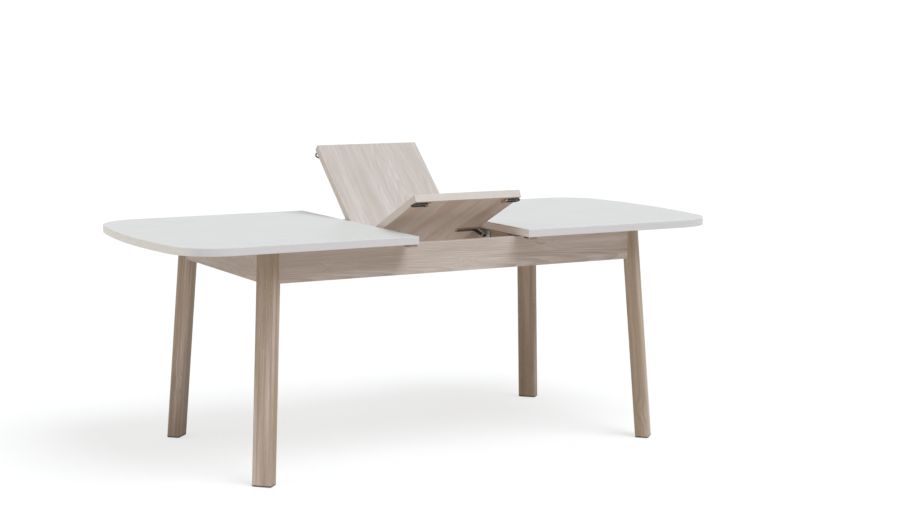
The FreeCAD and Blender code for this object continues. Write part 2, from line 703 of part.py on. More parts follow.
def make_rails():
    """Cross rails that carry the leaf pivot, notched under the slides, and their angles."""
    angles = []
    fixings = []
    for side, sx in SIDES.items():
        rail = f"rail_{side}"
        points = [
            ("-apron_inner_y", "rail_bottom"),
            ("apron_inner_y", "rail_bottom"),
            ("apron_inner_y", "ledge_z"),
            ("notch_y", "ledge_z"),
            ("notch_y", "apron_top"),
            ("-notch_y", "apron_top"),
            ("-notch_y", "ledge_z"),
            ("-apron_inner_y", "ledge_z"),
        ]
        start = "rail_inner" if sx > 0 else "-rail_outer"
        piece(rail, prism(rail + "_blank", "YZ_Plane", start, points, "rail_thickness"))
        for end, sy in ENDS.items():
            name = f"angle_{end}_{side}"
            corners = [
                ("0", "0"),
                ("angle_leg", "0"),
                ("angle_leg", "angle_thickness"),
                ("angle_thickness", "angle_thickness"),
                ("angle_thickness", "angle_leg"),
                ("0", "angle_leg"),
            ]
            points = [
                (f"{sx} * (rail_outer + {out})", f"{sy} * (apron_inner_y - {inward})")
                for out, inward in corners
            ]
            angle = prism(name + "_blank", "XY_Plane", "angle_bottom", points, "angle_height")
            to_apron = (f"{sx} * (rail_outer + angle_leg - angle_screw_inset)",
                        f"{sy} * (apron_inner_y - angle_thickness)", "angle_middle")
            to_rail = (f"{sx} * (rail_outer + angle_thickness)",
                       f"{sy} * (apron_inner_y - angle_leg + angle_screw_inset)", "angle_middle")
            fixings.append((to_apron, along("y", sy), (name, f"apron_{end}")))
            fixings.append((to_rail, along("x", -sx), (name, rail)))
            angles.append((name, angle))
    screws("rail_screws", fixings)
    drilled = [cut(name, angle, holes[name]) for name, angle in angles]
    piece("rail_angles", group("rail_angles_set", drilled))


def make_pivots(pose):
    """Pivot plates and pins on the rails, and the cranked arms under the front board."""
    plates = []
    pins = []
    nuts = []
    bushes = []
    plate_fixings = []
    arm_fixings = []
    for side, sx in SIDES.items():
        axis = along("x", sx)

        def at(place):
            return (f"{sx} * ({place})", "pivot_y", "pivot_z")
        pins.append(rod(f"pin_{side}", "pin_radius", at("pin_start"), "pin_end - pin_start", axis))
        way = rod(f"pin_way_{side}", "pin_radius + pin_clearance", at("bore_x"),
                  "pin_end - bore_x", axis)
        hexed = hexagon(f"pin_hexed_{side}", "pin_nut_radius", at("rail_outer"), "pin_nut_height", axis)
        nuts.append(cut(f"pin_nut_{side}", hexed, [way]))
        holes[f"rail_{side}"].append(way)
        plate_name = f"plate_{side}"
        plate = box(
            plate_name + "_blank",
            (f"{sx} * plate_x", "pivot_y - plate_length / 2", "pivot_z - plate_height / 2"),
            (f"{sx} * rail_inner", "pivot_y + plate_length / 2", "pivot_z + plate_height / 2"),
        )
        holes[plate_name].append(way)
        for sign in (-1, 1):
            seat = (f"{sx} * plate_x",
                    f"pivot_y + {sign} * (plate_length / 2 - plate_screw_inset)", "pivot_z")
            plate_fixings.append((seat, axis, (plate_name, f"rail_{side}")))
        plates.append((plate_name, plate))
        tube = rod(f"bush_tube_{side}", "bush_radius", at("bore_x"), "bore_length", axis)
        bushes.append(cut(f"bush_{side}", tube, [way]))
        arm_fixings += make_arm(side, sx, at, pose)
    screws("plate_screws", plate_fixings)
    drilled = [cut(name, plate, holes[name]) for name, plate in plates]
    piece("pivot_plates", group("pivot_plates_set", drilled))
    piece("pivot_pins", group("pivot_pins_set", pins))
    piece("pivot_nuts", group("pivot_nuts_set", nuts))
    piece("pivot_bushes", group("pivot_bushes_set", bushes), pose)
    screws("arm_screws", arm_fixings, pose=pose)


def make_arm(side, sx, at, pose):
    """One cranked flat bar from the leaf's underside down to its pivot eye."""
    name = f"pivot_arm_{side}"
    corners = [
        ("arm_start", "leaf_underside"),
        ("arm_bend", "leaf_underside"),
        ("bore_x", "pivot_z + arm_thickness / 2"),
        ("bore_x", "pivot_z - arm_thickness / 2"),
        ("arm_bend - arm_bend_shift", "arm_under"),
        ("arm_start", "arm_under"),
    ]
    points = [(f"{sx} * ({out})", height) for out, height in corners]
    bar = prism(name + "_bar", "XZ_Plane", "-(pivot_y + arm_width / 2)", points, "arm_width")
    axis = along("x", sx)
    eye = rod(name + "_eye", "arm_width / 2", at("eye_x"), "eye_length", axis)
    seat = rod(name + "_seat", "bush_radius + thread_clearance", at("bore_x"), "bore_length", axis)
    holes[name].append(seat)
    piece(name, fuse(name + "_blank", [bar, eye]), pose)
    fixings = []
    for place in ("arm_start + arm_screw_inset", "arm_bend - arm_screw_inset"):
        spot = (f"{sx} * ({place})", "pivot_y", "arm_under")
        fixings.append((spot, "z", (name, "leaf_front_board")))
    return fixings


def make_leaf(end, sy, pose):
    """One board of the leaf with its prongs and its side of the hinges, drawn flat."""
    board = f"leaf_{end}_board"
    points = [
        ("-leaf_half", f"{sy} * seam_half"),
        ("leaf_half", f"{sy} * seam_half"),
        ("leaf_half", f"{sy} * half_width"),
        ("-leaf_half", f"{sy} * half_width"),
    ]
    blank = prism(board + "_blank", "XY_Plane", "leaf_underside", points, "leaf_thickness")
    seam = sy * value("seam_half")

    def outer(span):
        return span.ZLength < FLAT and not (abs(span.YMin - seam) < FLAT and span.YLength < FLAT)
    ease(blank, "leaf_easing", outer)
    piece(board, blank, pose)
    make_hinges(end, sy, board, pose)
    make_prongs(end, sy, board, pose)


def make_hinges(end, sy, board, pose):
    """Hinge plates let into the seam face, with knuckles about the seam line."""
    plates = []
    fixings = []
    inner = f"{sy} * seam_half"
    back = f"{sy} * plate_back"
    tuck = "table_height - knuckle_bore"
    own = ("-hinge_length / 2", "hinge_length / 2 - knuckle_length")
    if end == "back":
        own = ("-hinge_length / 6 + knuckle_gap / 2",)
    own_length = "knuckle_length" if end == "front" else "hinge_length / 3 - knuckle_gap"
    for step in (-1, 0, 1):
        name = f"hinge_{end}_{step + 1}"
        middle = f"{step} * hinge_pitch"
        low = f"{middle} - hinge_length / 2"
        high = f"{middle} + hinge_length / 2"
        axis_start = (low, "0", "table_height")
        parts = [box(name + "_plate", (low, inner, "hinge_bottom"), (high, back, tuck))]
        for number, shift in enumerate(own):
            left = f"{middle} + {shift}"
            right = f"{left} + {own_length}"
            parts.append(box(f"{name}_link_{number}", (left, inner, tuck), (right, back, "table_height")))
            parts.append(rod(f"{name}_knuckle_{number}", "knuckle_radius",
                             (left, "0", "table_height"), own_length, "x"))
        holes[name].append(rod(name + "_bore", "hinge_pin_radius + hinge_clearance",
                               axis_start, "hinge_length", "x"))
        for sign in (-1, 1):
            seat = (f"{middle} + {sign} * hinge_screw_spread / 2",
                    f"{sy} * (seam_half + hinge_screw_head_height)",
                    "table_height - hinge_screw_drop")
            fixings.append((seat, along("y", sy), (name, board)))
        plates.append((name, fuse(name + "_blank", parts)))
        make_hinge_recess(name, board, sy, low, high)
    screws(f"hinge_{end}_screws", fixings, kind="hinge_screw", pose=pose)
    drilled = [cut(name, plate, holes[name]) for name, plate in plates]
    piece(f"hinge_{end}_plates", group(f"hinge_{end}_plates_set", drilled), pose)


def make_hinge_recess(name, board, sy, low, high):
    """The room in a board for one hinge plate and for the knuckles beside it."""
    slack = "hinge_clearance"
    recess = box(
        name + "_recess",
        (f"{low} - {slack}", "0", f"hinge_bottom - {slack}"),
        (f"{high} + {slack}", f"{sy} * plate_back", "table_height"),
    )
    groove = rod(name + "_groove", "knuckle_bore", (f"{low} - {slack}", "0", "table_height"),
                 f"hinge_length + 2 * {slack}", "x")
    holes[board].append(fuse(name + "_room", [recess, groove]))


def make_hinge_pins(pose):
    """Pins through the hinge knuckles along the seam line."""
    pins = [
        rod(f"hinge_pin_{step + 1}", "hinge_pin_radius",
            (f"{step} * hinge_pitch - hinge_length / 2", "0", "table_height"), "hinge_length", "x")
        for step in (-1, 0, 1)
    ]
    piece("hinge_pins", group("hinge_pins_set", pins), pose)


def make_prongs(end, sy, board, pose):
    """Bent wire prongs at both sides of a board, closed outwards, with saddles on their inner ends."""
    prongs = []
    saddles = []
    fixings = []
    for side, sx in SIDES.items():
        name = f"prong_{end}_{side}"
        axis = along("x", sx)
        bend = doc.addObject("Part::Torus", name + "_bend")
        bend.Angle3 = 180
        bend.Placement = FreeCAD.Placement(FreeCAD.Vector(), FreeCAD.Rotation(Z_AXIS, -90 * sx))
        bind(bend, Radius1="prong_pitch / 2", Radius2="prong_radius")
        move(bend, (f"{sx} * prong_bend", f"{sy} * prong_y", "prong_z"))
        wires = [bend]
        saddle = f"saddle_{end}_{side}"
        for sign in (-1, 1):
            across = f"{sy} * prong_y + {sign} * prong_pitch / 2"
            start = (f"{sx} * prong_start", across, "prong_z")
            wires.append(rod(f"{name}_wire_{sign + 1}", "prong_radius", start, "prong_run", axis))
            holes[saddle].append(rod(f"{saddle}_way_{sign + 1}", "prong_radius + thread_clearance",
                                     start, "prong_run", axis))
        prongs.append(fuse(name, wires))
        block = box(
            saddle + "_blank",
            (f"{sx} * (saddle_x - saddle_length / 2)", f"{sy} * prong_y - saddle_width / 2",
             "saddle_under"),
            (f"{sx} * (saddle_x + saddle_length / 2)", f"{sy} * prong_y + saddle_width / 2",
             "leaf_underside"),
        )
        fixings.append(((f"{sx} * saddle_x", f"{sy} * prong_y", "saddle_under"), "z", (saddle, board)))
        saddles.append((saddle, block))
    screws(f"saddle_screws_{end}", fixings, pose=pose)
    drilled = [cut(name, block, holes[name]) for name, block in saddles]
    piece(f"prong_saddles_{end}", group(f"prong_saddles_{end}_set", drilled), pose)
    piece(f"prongs_{end}", group(f"prongs_{end}_set", prongs), pose)


def make_sockets():
    """Sockets under the halves of the top that take the prongs of the flat leaf."""
    for side, sx in SIDES.items():
        fixings = []
        sockets = []
        for end, sy in ENDS.items():
            name = f"socket_{side}_{end}"
            block = box(
                name + "_blank",
                (f"{sx} * socket_start", f"{sy} * prong_y - socket_width / 2", "socket_under"),
                (f"{sx} * (socket_start + socket_length)", f"{sy} * prong_y + socket_width / 2",
                 "top_underside"),
            )
            holes[name].append(box(
                name + "_slot",
                (f"{sx} * cut_x", f"{sy} * prong_y - slot_half", "prong_z - slot_rise"),
                (f"{sx} * (socket_start + socket_slot)", f"{sy} * prong_y + slot_half",
                 "top_underside"),
            ))
            screw_x = f"{sx} * (socket_start + socket_length - socket_screw_inset)"
            for sign in (-1, 1):
                seat = (screw_x, f"{sy} * prong_y + {sign} * socket_screw_pitch / 2", "socket_under")
                fixings.append((seat, "z", (name, f"{side}_top")))
            sockets.append((name, block))
        screws(f"{side}_socket_screws", fixings)
        drilled = [cut(name, block, holes[name]) for name, block in sockets]
        piece(f"{side}_prong_sockets", group(f"{side}_prong_sockets_set", drilled))


def leaf_poses():
    """Where the two boards of the leaf stand as drawn, from the flat leaf."""
    pivot = FreeCAD.Vector(0, value("pivot_y"), value("pivot_z"))
    seam = FreeCAD.Vector(0, 0, value("table_height"))
    tilt = FreeCAD.Rotation(X_AXIS, -value("rest_tilt"))
    fold = FreeCAD.Rotation(X_AXIS, value("rest_fold"))
    front = FreeCAD.Placement(FreeCAD.Vector(), tilt, pivot)
    back = front.multiply(FreeCAD.Placement(FreeCAD.Vector(), fold, seam))
    return front, back


def finish_pieces():
    """Drill each sub-part, set its place and name it."""
    finished = []
    for name, (blank, pose) in pieces.items():
        item = cut(name, blank, holes[name]) if holes[name] else blank
        item.Placement = pose
        item.Label = name
        finished.append(item)
    doc.recompute()
    return finished


def check_pieces(finished):
    """Stop on any object that failed and any sub-part without a valid solid."""
    for item in doc.Objects:
        if "Invalid" in item.State or "Error" in item.State:
            raise RuntimeError(f"{item.Label} failed")
    for item in finished:
        if item.Shape.isNull() or not item.Shape.isValid() or not item.Shape.Solids:
            raise RuntimeError(f"{item.Label} has no valid solid")


def main():
    """Build every sub-part, check them and write one file for each."""
    fill_sheet("sizes", SIZES, "")
    fill_sheet("places", PLACES, "=")
    front_pose, back_pose = leaf_poses()
    make_tops()
    make_leaf("front", ENDS["front"], front_pose)
    make_leaf("back", ENDS["back"], back_pose)
    make_hinge_pins(front_pose)
    make_pivots(front_pose)
    make_legs()
    make_aprons()
    make_corner_blocks()
    make_rails()
    make_channels()
    make_runners()
    make_pads()
    make_sockets()
    finished = finish_pieces()
    check_pieces(finished)
    os.makedirs("parts", exist_ok=True)
    for item in finished:
        item.Shape.exportStep(f"parts/{item.Label}.step")
        print(item.Label, len(item.Shape.Solids), round(item.Shape.Volume))
    print(len(finished), "sub-parts")


main()
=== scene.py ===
"""Dresses the butterfly leaf table: finishes, fasteners in detail, studio and camera."""

import json
import logging
import math
from dataclasses import dataclass, field, replace
from enum import Enum
from typing import Any, Iterable

import bmesh
import bpy
from mathutils import Color, Matrix, Vector

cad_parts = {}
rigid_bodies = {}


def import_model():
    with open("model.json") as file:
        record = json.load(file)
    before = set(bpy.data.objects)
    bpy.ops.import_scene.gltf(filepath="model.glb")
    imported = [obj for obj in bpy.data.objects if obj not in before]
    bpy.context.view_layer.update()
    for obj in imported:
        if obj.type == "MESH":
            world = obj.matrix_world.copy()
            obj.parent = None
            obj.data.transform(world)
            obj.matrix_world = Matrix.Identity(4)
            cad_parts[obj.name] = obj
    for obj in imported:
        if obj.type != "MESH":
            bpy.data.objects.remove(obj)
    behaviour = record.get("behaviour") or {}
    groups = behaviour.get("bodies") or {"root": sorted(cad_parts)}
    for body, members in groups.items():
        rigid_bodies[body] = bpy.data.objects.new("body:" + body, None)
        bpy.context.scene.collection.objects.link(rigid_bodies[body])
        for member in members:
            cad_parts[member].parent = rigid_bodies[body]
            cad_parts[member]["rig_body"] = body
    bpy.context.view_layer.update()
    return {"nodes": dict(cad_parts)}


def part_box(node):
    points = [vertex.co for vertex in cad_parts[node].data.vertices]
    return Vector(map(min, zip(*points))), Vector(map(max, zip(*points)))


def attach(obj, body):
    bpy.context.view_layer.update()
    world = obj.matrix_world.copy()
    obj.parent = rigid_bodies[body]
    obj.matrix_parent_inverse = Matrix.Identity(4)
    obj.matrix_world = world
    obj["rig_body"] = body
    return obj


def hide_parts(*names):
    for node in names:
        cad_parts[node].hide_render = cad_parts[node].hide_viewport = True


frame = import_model()

log = logging.getLogger("leaf_table")

Colour = tuple[float, float, float]
Cells = tuple[float, float, float]
Span = tuple[float, float]
Socket = bpy.types.NodeSocket
Node = bpy.types.Node
Form = bmesh.types.BMesh

SIDES: dict[str, int] = {"left": -1, "right": 1}
ENDS: dict[str, int] = {"front": -1, "back": 1}

SCREEN_WHITE = 255
WHITE: Colour = (1.0, 1.0, 1.0)
BLACK: Colour = (0.0, 0.0, 0.0)

# Kinds of sockets of a group.
NUMBER = "NodeSocketFloat"
PLACE = "NodeSocketVector"

# Places of the colour sockets on Blender's mix node, whose names are not unique.
MIX_SHARE, MIX_FIRST, MIX_SECOND, MIX_RESULT = 0, 6, 7, 2


class Direction(Enum):
    """Axis of the frame along which a piece was sawn, drawn or brushed."""

    X = Vector((1.0, 0.0, 0.0))
    Y = Vector((0.0, 1.0, 0.0))
    Z = Vector((0.0, 0.0, 1.0))


def linear(red: int, green: int, blue: int) -> Colour:
    """Turns screen numbers from 0 to 255 into linear colour.

    Args:
        red: red part.
        green: green part.
        blue: blue part.

    Returns:
        The three linear parts.
    """
    screen = Color([part / SCREEN_WHITE for part in (red, green, blue)])
    return tuple(screen.from_srgb_to_scene_linear())


class Graph:
    """Adds nodes and links to one material or one node group."""

    def __init__(self, tree: bpy.types.NodeTree) -> None:
        """Keeps the tree that is filled."""
        self.tree = tree

    def feed(self, socket: Socket, source: Any) -> None:
        """Links a source to an input, or sets the input's own value.

        Args:
            socket: the input that is fed.
            source: a socket, a number, a vector or a colour.
        """
        if isinstance(source, Socket):
            self.tree.links.new(source, socket)
        elif socket.type == "RGBA":
            socket.default_value = (*source, 1.0)
        else:
            socket.default_value = source

    def add(self, kind: str, feeds: dict[Any, Any] | None = None, **settings: Any) -> Node:
        """Makes a node.

        Args:
            kind: Blender's name for the node.
            feeds: what its inputs take, by name or number.
            **settings: the node's own settings.

        Returns:
            The node.
        """
        node = self.tree.nodes.new(kind)
        for name, setting in settings.items():
            setattr(node, name, setting)
        for key, source in (feeds or {}).items():
            self.feed(node.inputs[key], source)
        return node

    def group(self, tree: bpy.types.NodeTree, feeds: dict[str, Any]) -> Any:
        """Places a shared group and gives its outputs."""
        return self.add("ShaderNodeGroup", feeds, node_tree=tree).outputs

    def math(self, operation: str, *terms: Any) -> Socket:
        """Does one sum on numbers."""
        return self.add("ShaderNodeMath", dict(enumerate(terms)), operation=operation).outputs[0]

    def product(self, first: Any, second: Any) -> Socket:
        """Multiplies two numbers."""
        return self.math("MULTIPLY", first, second)

    def size(self, number: Socket) -> Socket:
        """Gives a number without its sign."""
        return self.math("ABSOLUTE", number)

    def vector(self, operation: str, *terms: Any) -> Socket:
        """Does one sum on vectors and gives the vector."""
        node = self.add("ShaderNodeVectorMath", dict(enumerate(terms)), operation=operation)
        return node.outputs[0]

    def scaled(self, vector: Socket, scale: Any) -> Socket:
        """Multiplies a vector by one number."""
        feeds = {0: vector, "Scale": scale}
        return self.add("ShaderNodeVectorMath", feeds, operation="SCALE").outputs[0]

    def dot(self, first: Any, second: Any) -> Socket:
        """Gives how far two unit vectors point the same way."""
        feeds = {0: first, 1: second}
        return self.add("ShaderNodeVectorMath", feeds, operation="DOT_PRODUCT").outputs["Value"]

    def parts(self, vector: Socket) -> tuple[Socket, Socket, Socket]:
        """Splits a vector into its three numbers."""
        node = self.add("ShaderNodeSeparateXYZ", {0: vector})
        return node.outputs[0], node.outputs[1], node.outputs[2]

    def joined(self, feeds: dict[int, Any]) -> Socket:
        """Makes a vector from numbers, by their places."""
        return self.add("ShaderNodeCombineXYZ", feeds).outputs[0]

    def mix(self, share: Any, first: Any, second: Any, blend: str = "MIX") -> Socket:
        """Mixes two colours.

        Args:
            share: how much of the second one.
            first: the colour at 0.
            second: the colour at 1.
            blend: Blender's name for the way of mixing.

        Returns:
            The mixed colour.
        """
        feeds = {MIX_SHARE: share, MIX_FIRST: first, MIX_SECOND: second}
        node = self.add("ShaderNodeMix", feeds, data_type="RGBA", blend_type=blend)
        return node.outputs[MIX_RESULT]

    def ramp(self, value: Socket, span: Span) -> Socket:
        """Maps a range smoothly onto 0 to 1.

        Args:
            value: the number to map.
            span: what becomes 0 and what becomes 1.

        Returns:
            The mapped number.
        """
        feeds = {"Value": value, "From Min": span[0], "From Max": span[1]}
        node = self.add("ShaderNodeMapRange", feeds, interpolation_type="SMOOTHSTEP")
        return node.outputs[0]

    def noise(self, place: Socket, detail: float = 2.0, rough: float = 0.5) -> Socket:
        """Reads noise with cells one unit across.

        Args:
            place: where it is read, scaled before.
            detail: octaves.
            rough: strength of the finer octaves.

        Returns:
            A number about 0.5.
        """
        feeds = {"Vector": place, "Scale": 1.0, "Detail": detail, "Roughness": rough}
        return self.add("ShaderNodeTexNoise", feeds).outputs[0]


def found(tree: bpy.types.NodeTree, kind: str) -> Node:
    """Finds the first node of a kind."""
    return next(node for node in tree.nodes if node.type == kind)


@dataclass(frozen=True)
class Pattern:
    """Noise of which one range is used: octaves, their strength, and cells to the metre."""

    span: Span
    detail: float = 2.0
    rough: float = 0.5
    cells: Cells | None = None

    def draw(self, graph: Graph, place: Socket) -> Socket:
        """Spreads the pattern over a surface.

        Args:
            graph: the graph that is filled.
            place: coordinates, already scaled where the pattern has no cells of its own.

        Returns:
            A number from 0 to 1.
        """
        if self.cells is not None:
            place = graph.vector("MULTIPLY", place, self.cells)
        return graph.ramp(graph.noise(place, self.detail, self.rough), self.span)


def open_group(
    name: str, inputs: dict[str, tuple[str, Any]], outputs: Iterable[str]
) -> tuple[Graph, Any, Any]:
    """Starts a node group with named sockets.

    Args:
        name: name of the group.
        inputs: kind and first value of each input.
        outputs: name of each output; all are numbers.

    Returns:
        The graph, the sockets that bring the inputs, and those that take the outputs.
    """
    tree = bpy.data.node_groups.new(name, "ShaderNodeTree")
    for socket, (kind, start) in inputs.items():
        made = tree.interface.new_socket(socket, in_out="INPUT", socket_type=kind)
        if start is not None:
            made.default_value = start
    for socket in outputs:
        tree.interface.new_socket(socket, in_out="OUTPUT", socket_type=NUMBER)
    graph = Graph(tree)
    return graph, graph.add("NodeGroupInput").outputs, graph.add("NodeGroupOutput").inputs


# Oak figure: cells to the metre along and across the grain, and ranges of masks.
KNOT_CELLS: Cells = (4.5, 13.0, 13.0)
KNOT_SPAN: Span = (0.26, 0.0)
DRIFT_CELLS: Cells = (1.6, 14.0, 14.0)
DRIFT_DETAIL = 3.0
DRIFT_MIDDLE = 0.5
LATE_RISE: Span = (0.25, 0.9)
LATE_FALL: Span = (1.0, 0.93)
FAINTEST_RING = 0.3
STREAKS_ACROSS = 70.0
PORE_ZONE: Span = (0.75, 0.1)
FIBRE_RELIEF = 0.5
RING_RELIEF = 0.35
FADE = Pattern((0.3, 0.7), cells=(3.0, 26.0, 26.0))
STREAKS = Pattern((0.32, 0.7), 3.0, 0.6)
FIBRES = Pattern((0.3, 0.72), 3.0, 0.65, (16.0, 750.0, 750.0))
PORES = Pattern((0.6, 0.72), 1.0, cells=(75.0, 1500.0, 1500.0))
ZONES = Pattern((0.36, 0.64), cells=(1.5, 17.0, 17.0))

# Worn edges.
EDGE_SAMPLES = 4
EDGE_SPAN: Span = (0.998, 0.86)
PATCHES = Pattern((0.36, 0.64), 3.0, 0.6)

# Handling marks.
KINK = 0.02
CLOUDS = Pattern((0.3, 0.72), 5.0, 0.6)
HAIRLINES = Pattern((0.66, 0.74), cells=(0.9, 34.0, 5.0))
SPARSE = Pattern((0.52, 0.62), cells=(0.7, 0.9, 0.8))

# Drawing lines of metal.
LINE_STRETCH: Cells = (0.02, 1.0, 1.0)
LINES = Pattern((0.25, 0.75), 3.0, 0.6)
SPOTS = Pattern((0.3, 0.75), 4.0, 0.65, (160.0, 160.0, 160.0))


class SharedEffects:
    """Node groups that several finishes use."""

    def __init__(self) -> None:
        """Builds each group once."""
        self.figure = self.make_figure()
        self.wear = self.make_wear()
        self.scuffs = self.make_scuffs()
        self.lines = self.make_lines()

    def make_figure(self) -> bpy.types.NodeTree:
        """Makes oak as a slice through growth rings, with the grain along X, in metres.

        Returns:
            The node group.
        """
        inputs = {
            "Place": (PLACE, None),
            "Ring": (NUMBER, 0.007),
            "Pith depth": (NUMBER, 0.05),
            "Pith side": (NUMBER, 0.0),
            "Pith slope": (NUMBER, 0.06),
            "Wander": (NUMBER, 0.012),
            "Streak step": (NUMBER, 2.4),
            "Knot": (NUMBER, 0.0),
            "Cut": (NUMBER, 0.0),
        }
        outputs = ("Rings", "Streaks", "Fibres", "Pores", "Tone", "Height")
        graph, given, result = open_group("oak_figure", inputs, outputs)

        # The grain parts round each knot.
        moved = graph.vector("ADD", given["Place"], given["Cut"])
        feeds = {"Vector": graph.vector("MULTIPLY", moved, KNOT_CELLS), "Scale": 1.0}
        near = graph.add("ShaderNodeTexVoronoi", feeds, voronoi_dimensions="2D")
        knot = graph.product(graph.ramp(near.outputs["Distance"], KNOT_SPAN), given["Knot"])
        log_place = graph.vector("ADD", moved, graph.joined({1: knot}))

        # Rings lie about the pith, which leans and wanders.
        along, across, deep = graph.parts(given["Place"])
        slow = graph.vector("MULTIPLY", log_place, DRIFT_CELLS)
        drift = graph.math("SUBTRACT", graph.noise(slow, DRIFT_DETAIL), DRIFT_MIDDLE)
        lean = graph.product(along, given["Pith slope"])
        rise = graph.math("ADD", graph.math("ADD", deep, given["Pith depth"]), lean)
        beside = graph.math("ADD", across, given["Pith side"])
        squares = graph.math("ADD", graph.product(beside, beside), graph.product(rise, rise))
        shift = graph.math("MULTIPLY_ADD", drift, given["Wander"], knot)
        radius = graph.math("ADD", graph.math("SQRT", squares), shift)
        turn = graph.math("FRACT", graph.math("DIVIDE", radius, given["Ring"]))
        late = graph.product(graph.ramp(turn, LATE_RISE), graph.ramp(turn, LATE_FALL))
        fade = FADE.draw(graph, log_place)
        rings = graph.product(
            late, graph.math("MULTIPLY_ADD", fade, 1.0 - FAINTEST_RING, FAINTEST_RING)
        )

        # Streaks, fibres and pores run along the grain.
        step = graph.joined({0: given["Streak step"], 1: STREAKS_ACROSS, 2: STREAKS_ACROSS})
        streaks = STREAKS.draw(graph, graph.vector("MULTIPLY", log_place, step))
        fibres = FIBRES.draw(graph, log_place)
        pores = graph.product(PORES.draw(graph, log_place), graph.ramp(turn, PORE_ZONE))
        relief = graph.math("MULTIPLY_ADD", fibres, FIBRE_RELIEF, graph.product(rings, RING_RELIEF))
        height = graph.math("SUBTRACT", relief, pores)
        tone = ZONES.draw(graph, log_place)
        for name, source in zip(outputs, (rings, streaks, fibres, pores, tone, height)):
            graph.feed(result[name], source)
        return graph.tree

    def make_wear(self) -> bpy.types.NodeTree:
        """Makes a mask of edges, whole and broken up by noise.

        Returns:
            The node group.
        """
        inputs = {"Place": (PLACE, None), "Radius": (NUMBER, 0.002), "Breakup": (NUMBER, 60.0)}
        graph, given, result = open_group("edge_wear", inputs, ("Edge", "Worn"))
        feeds = {"Radius": given["Radius"]}
        rounded = graph.add("ShaderNodeBevel", feeds, samples=EDGE_SAMPLES).outputs[0]
        plain = graph.add("ShaderNodeNewGeometry").outputs["True Normal"]
        edge = graph.ramp(graph.dot(rounded, plain), EDGE_SPAN)
        patch = PATCHES.draw(graph, graph.scaled(given["Place"], given["Breakup"]))
        graph.feed(result["Edge"], edge)
        graph.feed(result["Worn"], graph.product(edge, patch))
        return graph.tree

    def make_scuffs(self) -> bpy.types.NodeTree:
        """Makes handling marks: cloudy wipe marks and a few hair scratches.

        Returns:
            The node group.
        """
        inputs = {"Place": (PLACE, None), "Size": (NUMBER, 9.0)}
        graph, given, result = open_group("handling_marks", inputs, ("Clouds", "Scratches"))
        place = graph.scaled(given["Place"], given["Size"])
        bent = graph.vector("ADD", place, graph.scaled(graph.vector("FRACTION", place), KINK))
        scratches = graph.product(HAIRLINES.draw(graph, bent), SPARSE.draw(graph, place))
        graph.feed(result["Clouds"], CLOUDS.draw(graph, place))
        graph.feed(result["Scratches"], scratches)
        return graph.tree

    def make_lines(self) -> bpy.types.NodeTree:
        """Makes drawing lines of bright metal, along X, in metres.

        Returns:
            The node group.
        """
        inputs = {"Place": (PLACE, None), "Fineness": (NUMBER, 1400.0)}
        graph, given, result = open_group("drawing_lines", inputs, ("Lines", "Spots"))
        stretched = graph.vector("MULTIPLY", given["Place"], LINE_STRETCH)
        fine = graph.scaled(stretched, given["Fineness"])
        graph.feed(result["Lines"], LINES.draw(graph, fine))
        graph.feed(result["Spots"], SPOTS.draw(graph, given["Place"]))
        return graph.tree


# Makes the cut of a board differ with the place of its middle.
CUT_STEPS = Vector((1.3, 2.9, 0.7))


@dataclass(frozen=True)
class Lie:
    """How a board or bar lies: its middle, the ways of its grain and face, and its own cut."""

    middle: Vector
    grain: Vector
    face: Vector
    shift: float = 0.0

    def cut(self) -> float:
        """Gives a number that differs from piece to piece, for a figure of its own."""
        return self.middle.dot(CUT_STEPS) + self.shift

    def turn(self) -> Matrix:
        """Gives the rotation that takes X to the grain and Z to the face."""
        grain = self.grain.normalized()
        across = self.face.cross(self.grain).normalized()
        return Matrix((grain, across, grain.cross(across))).transposed()


@dataclass(frozen=True)
class Surface:
    """A material while it is filled, with the lie of its piece and the shared groups.

    The place is the piece's Object coordinates, turned to its grain.
    """

    graph: Graph
    shader: Node
    place: Socket
    lie: Lie
    effects: SharedEffects

    def feed(self, name: str, source: Any) -> None:
        """Feeds an input of the shader."""
        self.graph.feed(self.shader.inputs[name], source)

    def coordinates(self, kind: str) -> Socket:
        """Gives the place or the normal in the axes of the frame."""
        return self.graph.add("ShaderNodeTexCoord").outputs[kind]

    def wear(self, radius: float, breakup: float) -> Any:
        """Places the worn edges and gives their masks."""
        feeds = {"Place": self.place, "Radius": radius, "Breakup": breakup}
        return self.graph.group(self.effects.wear, feeds)

    def marks(self, size: float) -> Any:
        """Places the handling marks and gives their masks."""
        return self.graph.group(self.effects.scuffs, {"Place": self.place, "Size": size})

    def emboss(self, height: Socket, depth: float) -> None:
        """Adds relief from 0 to 1, with its depth in metres."""
        feeds = {"Height": height, "Strength": 1.0, "Distance": depth}
        self.feed("Normal", self.graph.add("ShaderNodeBump", feeds).outputs[0])


@dataclass(frozen=True)
class Finish:
    """A surface finish; each kind fills in its own nodes."""

    name: str
    rough: float

    def nodes(self, surface: Surface) -> None:
        """Fills a material.

        Args:
            surface: the material.
        """
        raise NotImplementedError

    def material(self, name: str, lie: Lie, effects: SharedEffects) -> bpy.types.Material:
        """Makes this finish for a piece.

        Args:
            name: what the piece is called.
            lie: how the piece lies.
            effects: the shared groups.

        Returns:
            The material.
        """
        made = bpy.data.materials.new(f"{self.name}_{name}")
        made.use_nodes = True
        graph = Graph(made.node_tree)
        feeds = {
            "Vector": graph.add("ShaderNodeTexCoord").outputs["Object"],
            "Location": lie.middle,
            "Rotation": lie.turn().to_euler(),
        }
        mapping = graph.add("ShaderNodeMapping", feeds, vector_type="TEXTURE")
        shader = found(made.node_tree, "BSDF_PRINCIPLED")
        self.nodes(Surface(graph, shader, mapping.outputs[0], lie, effects))
        return made


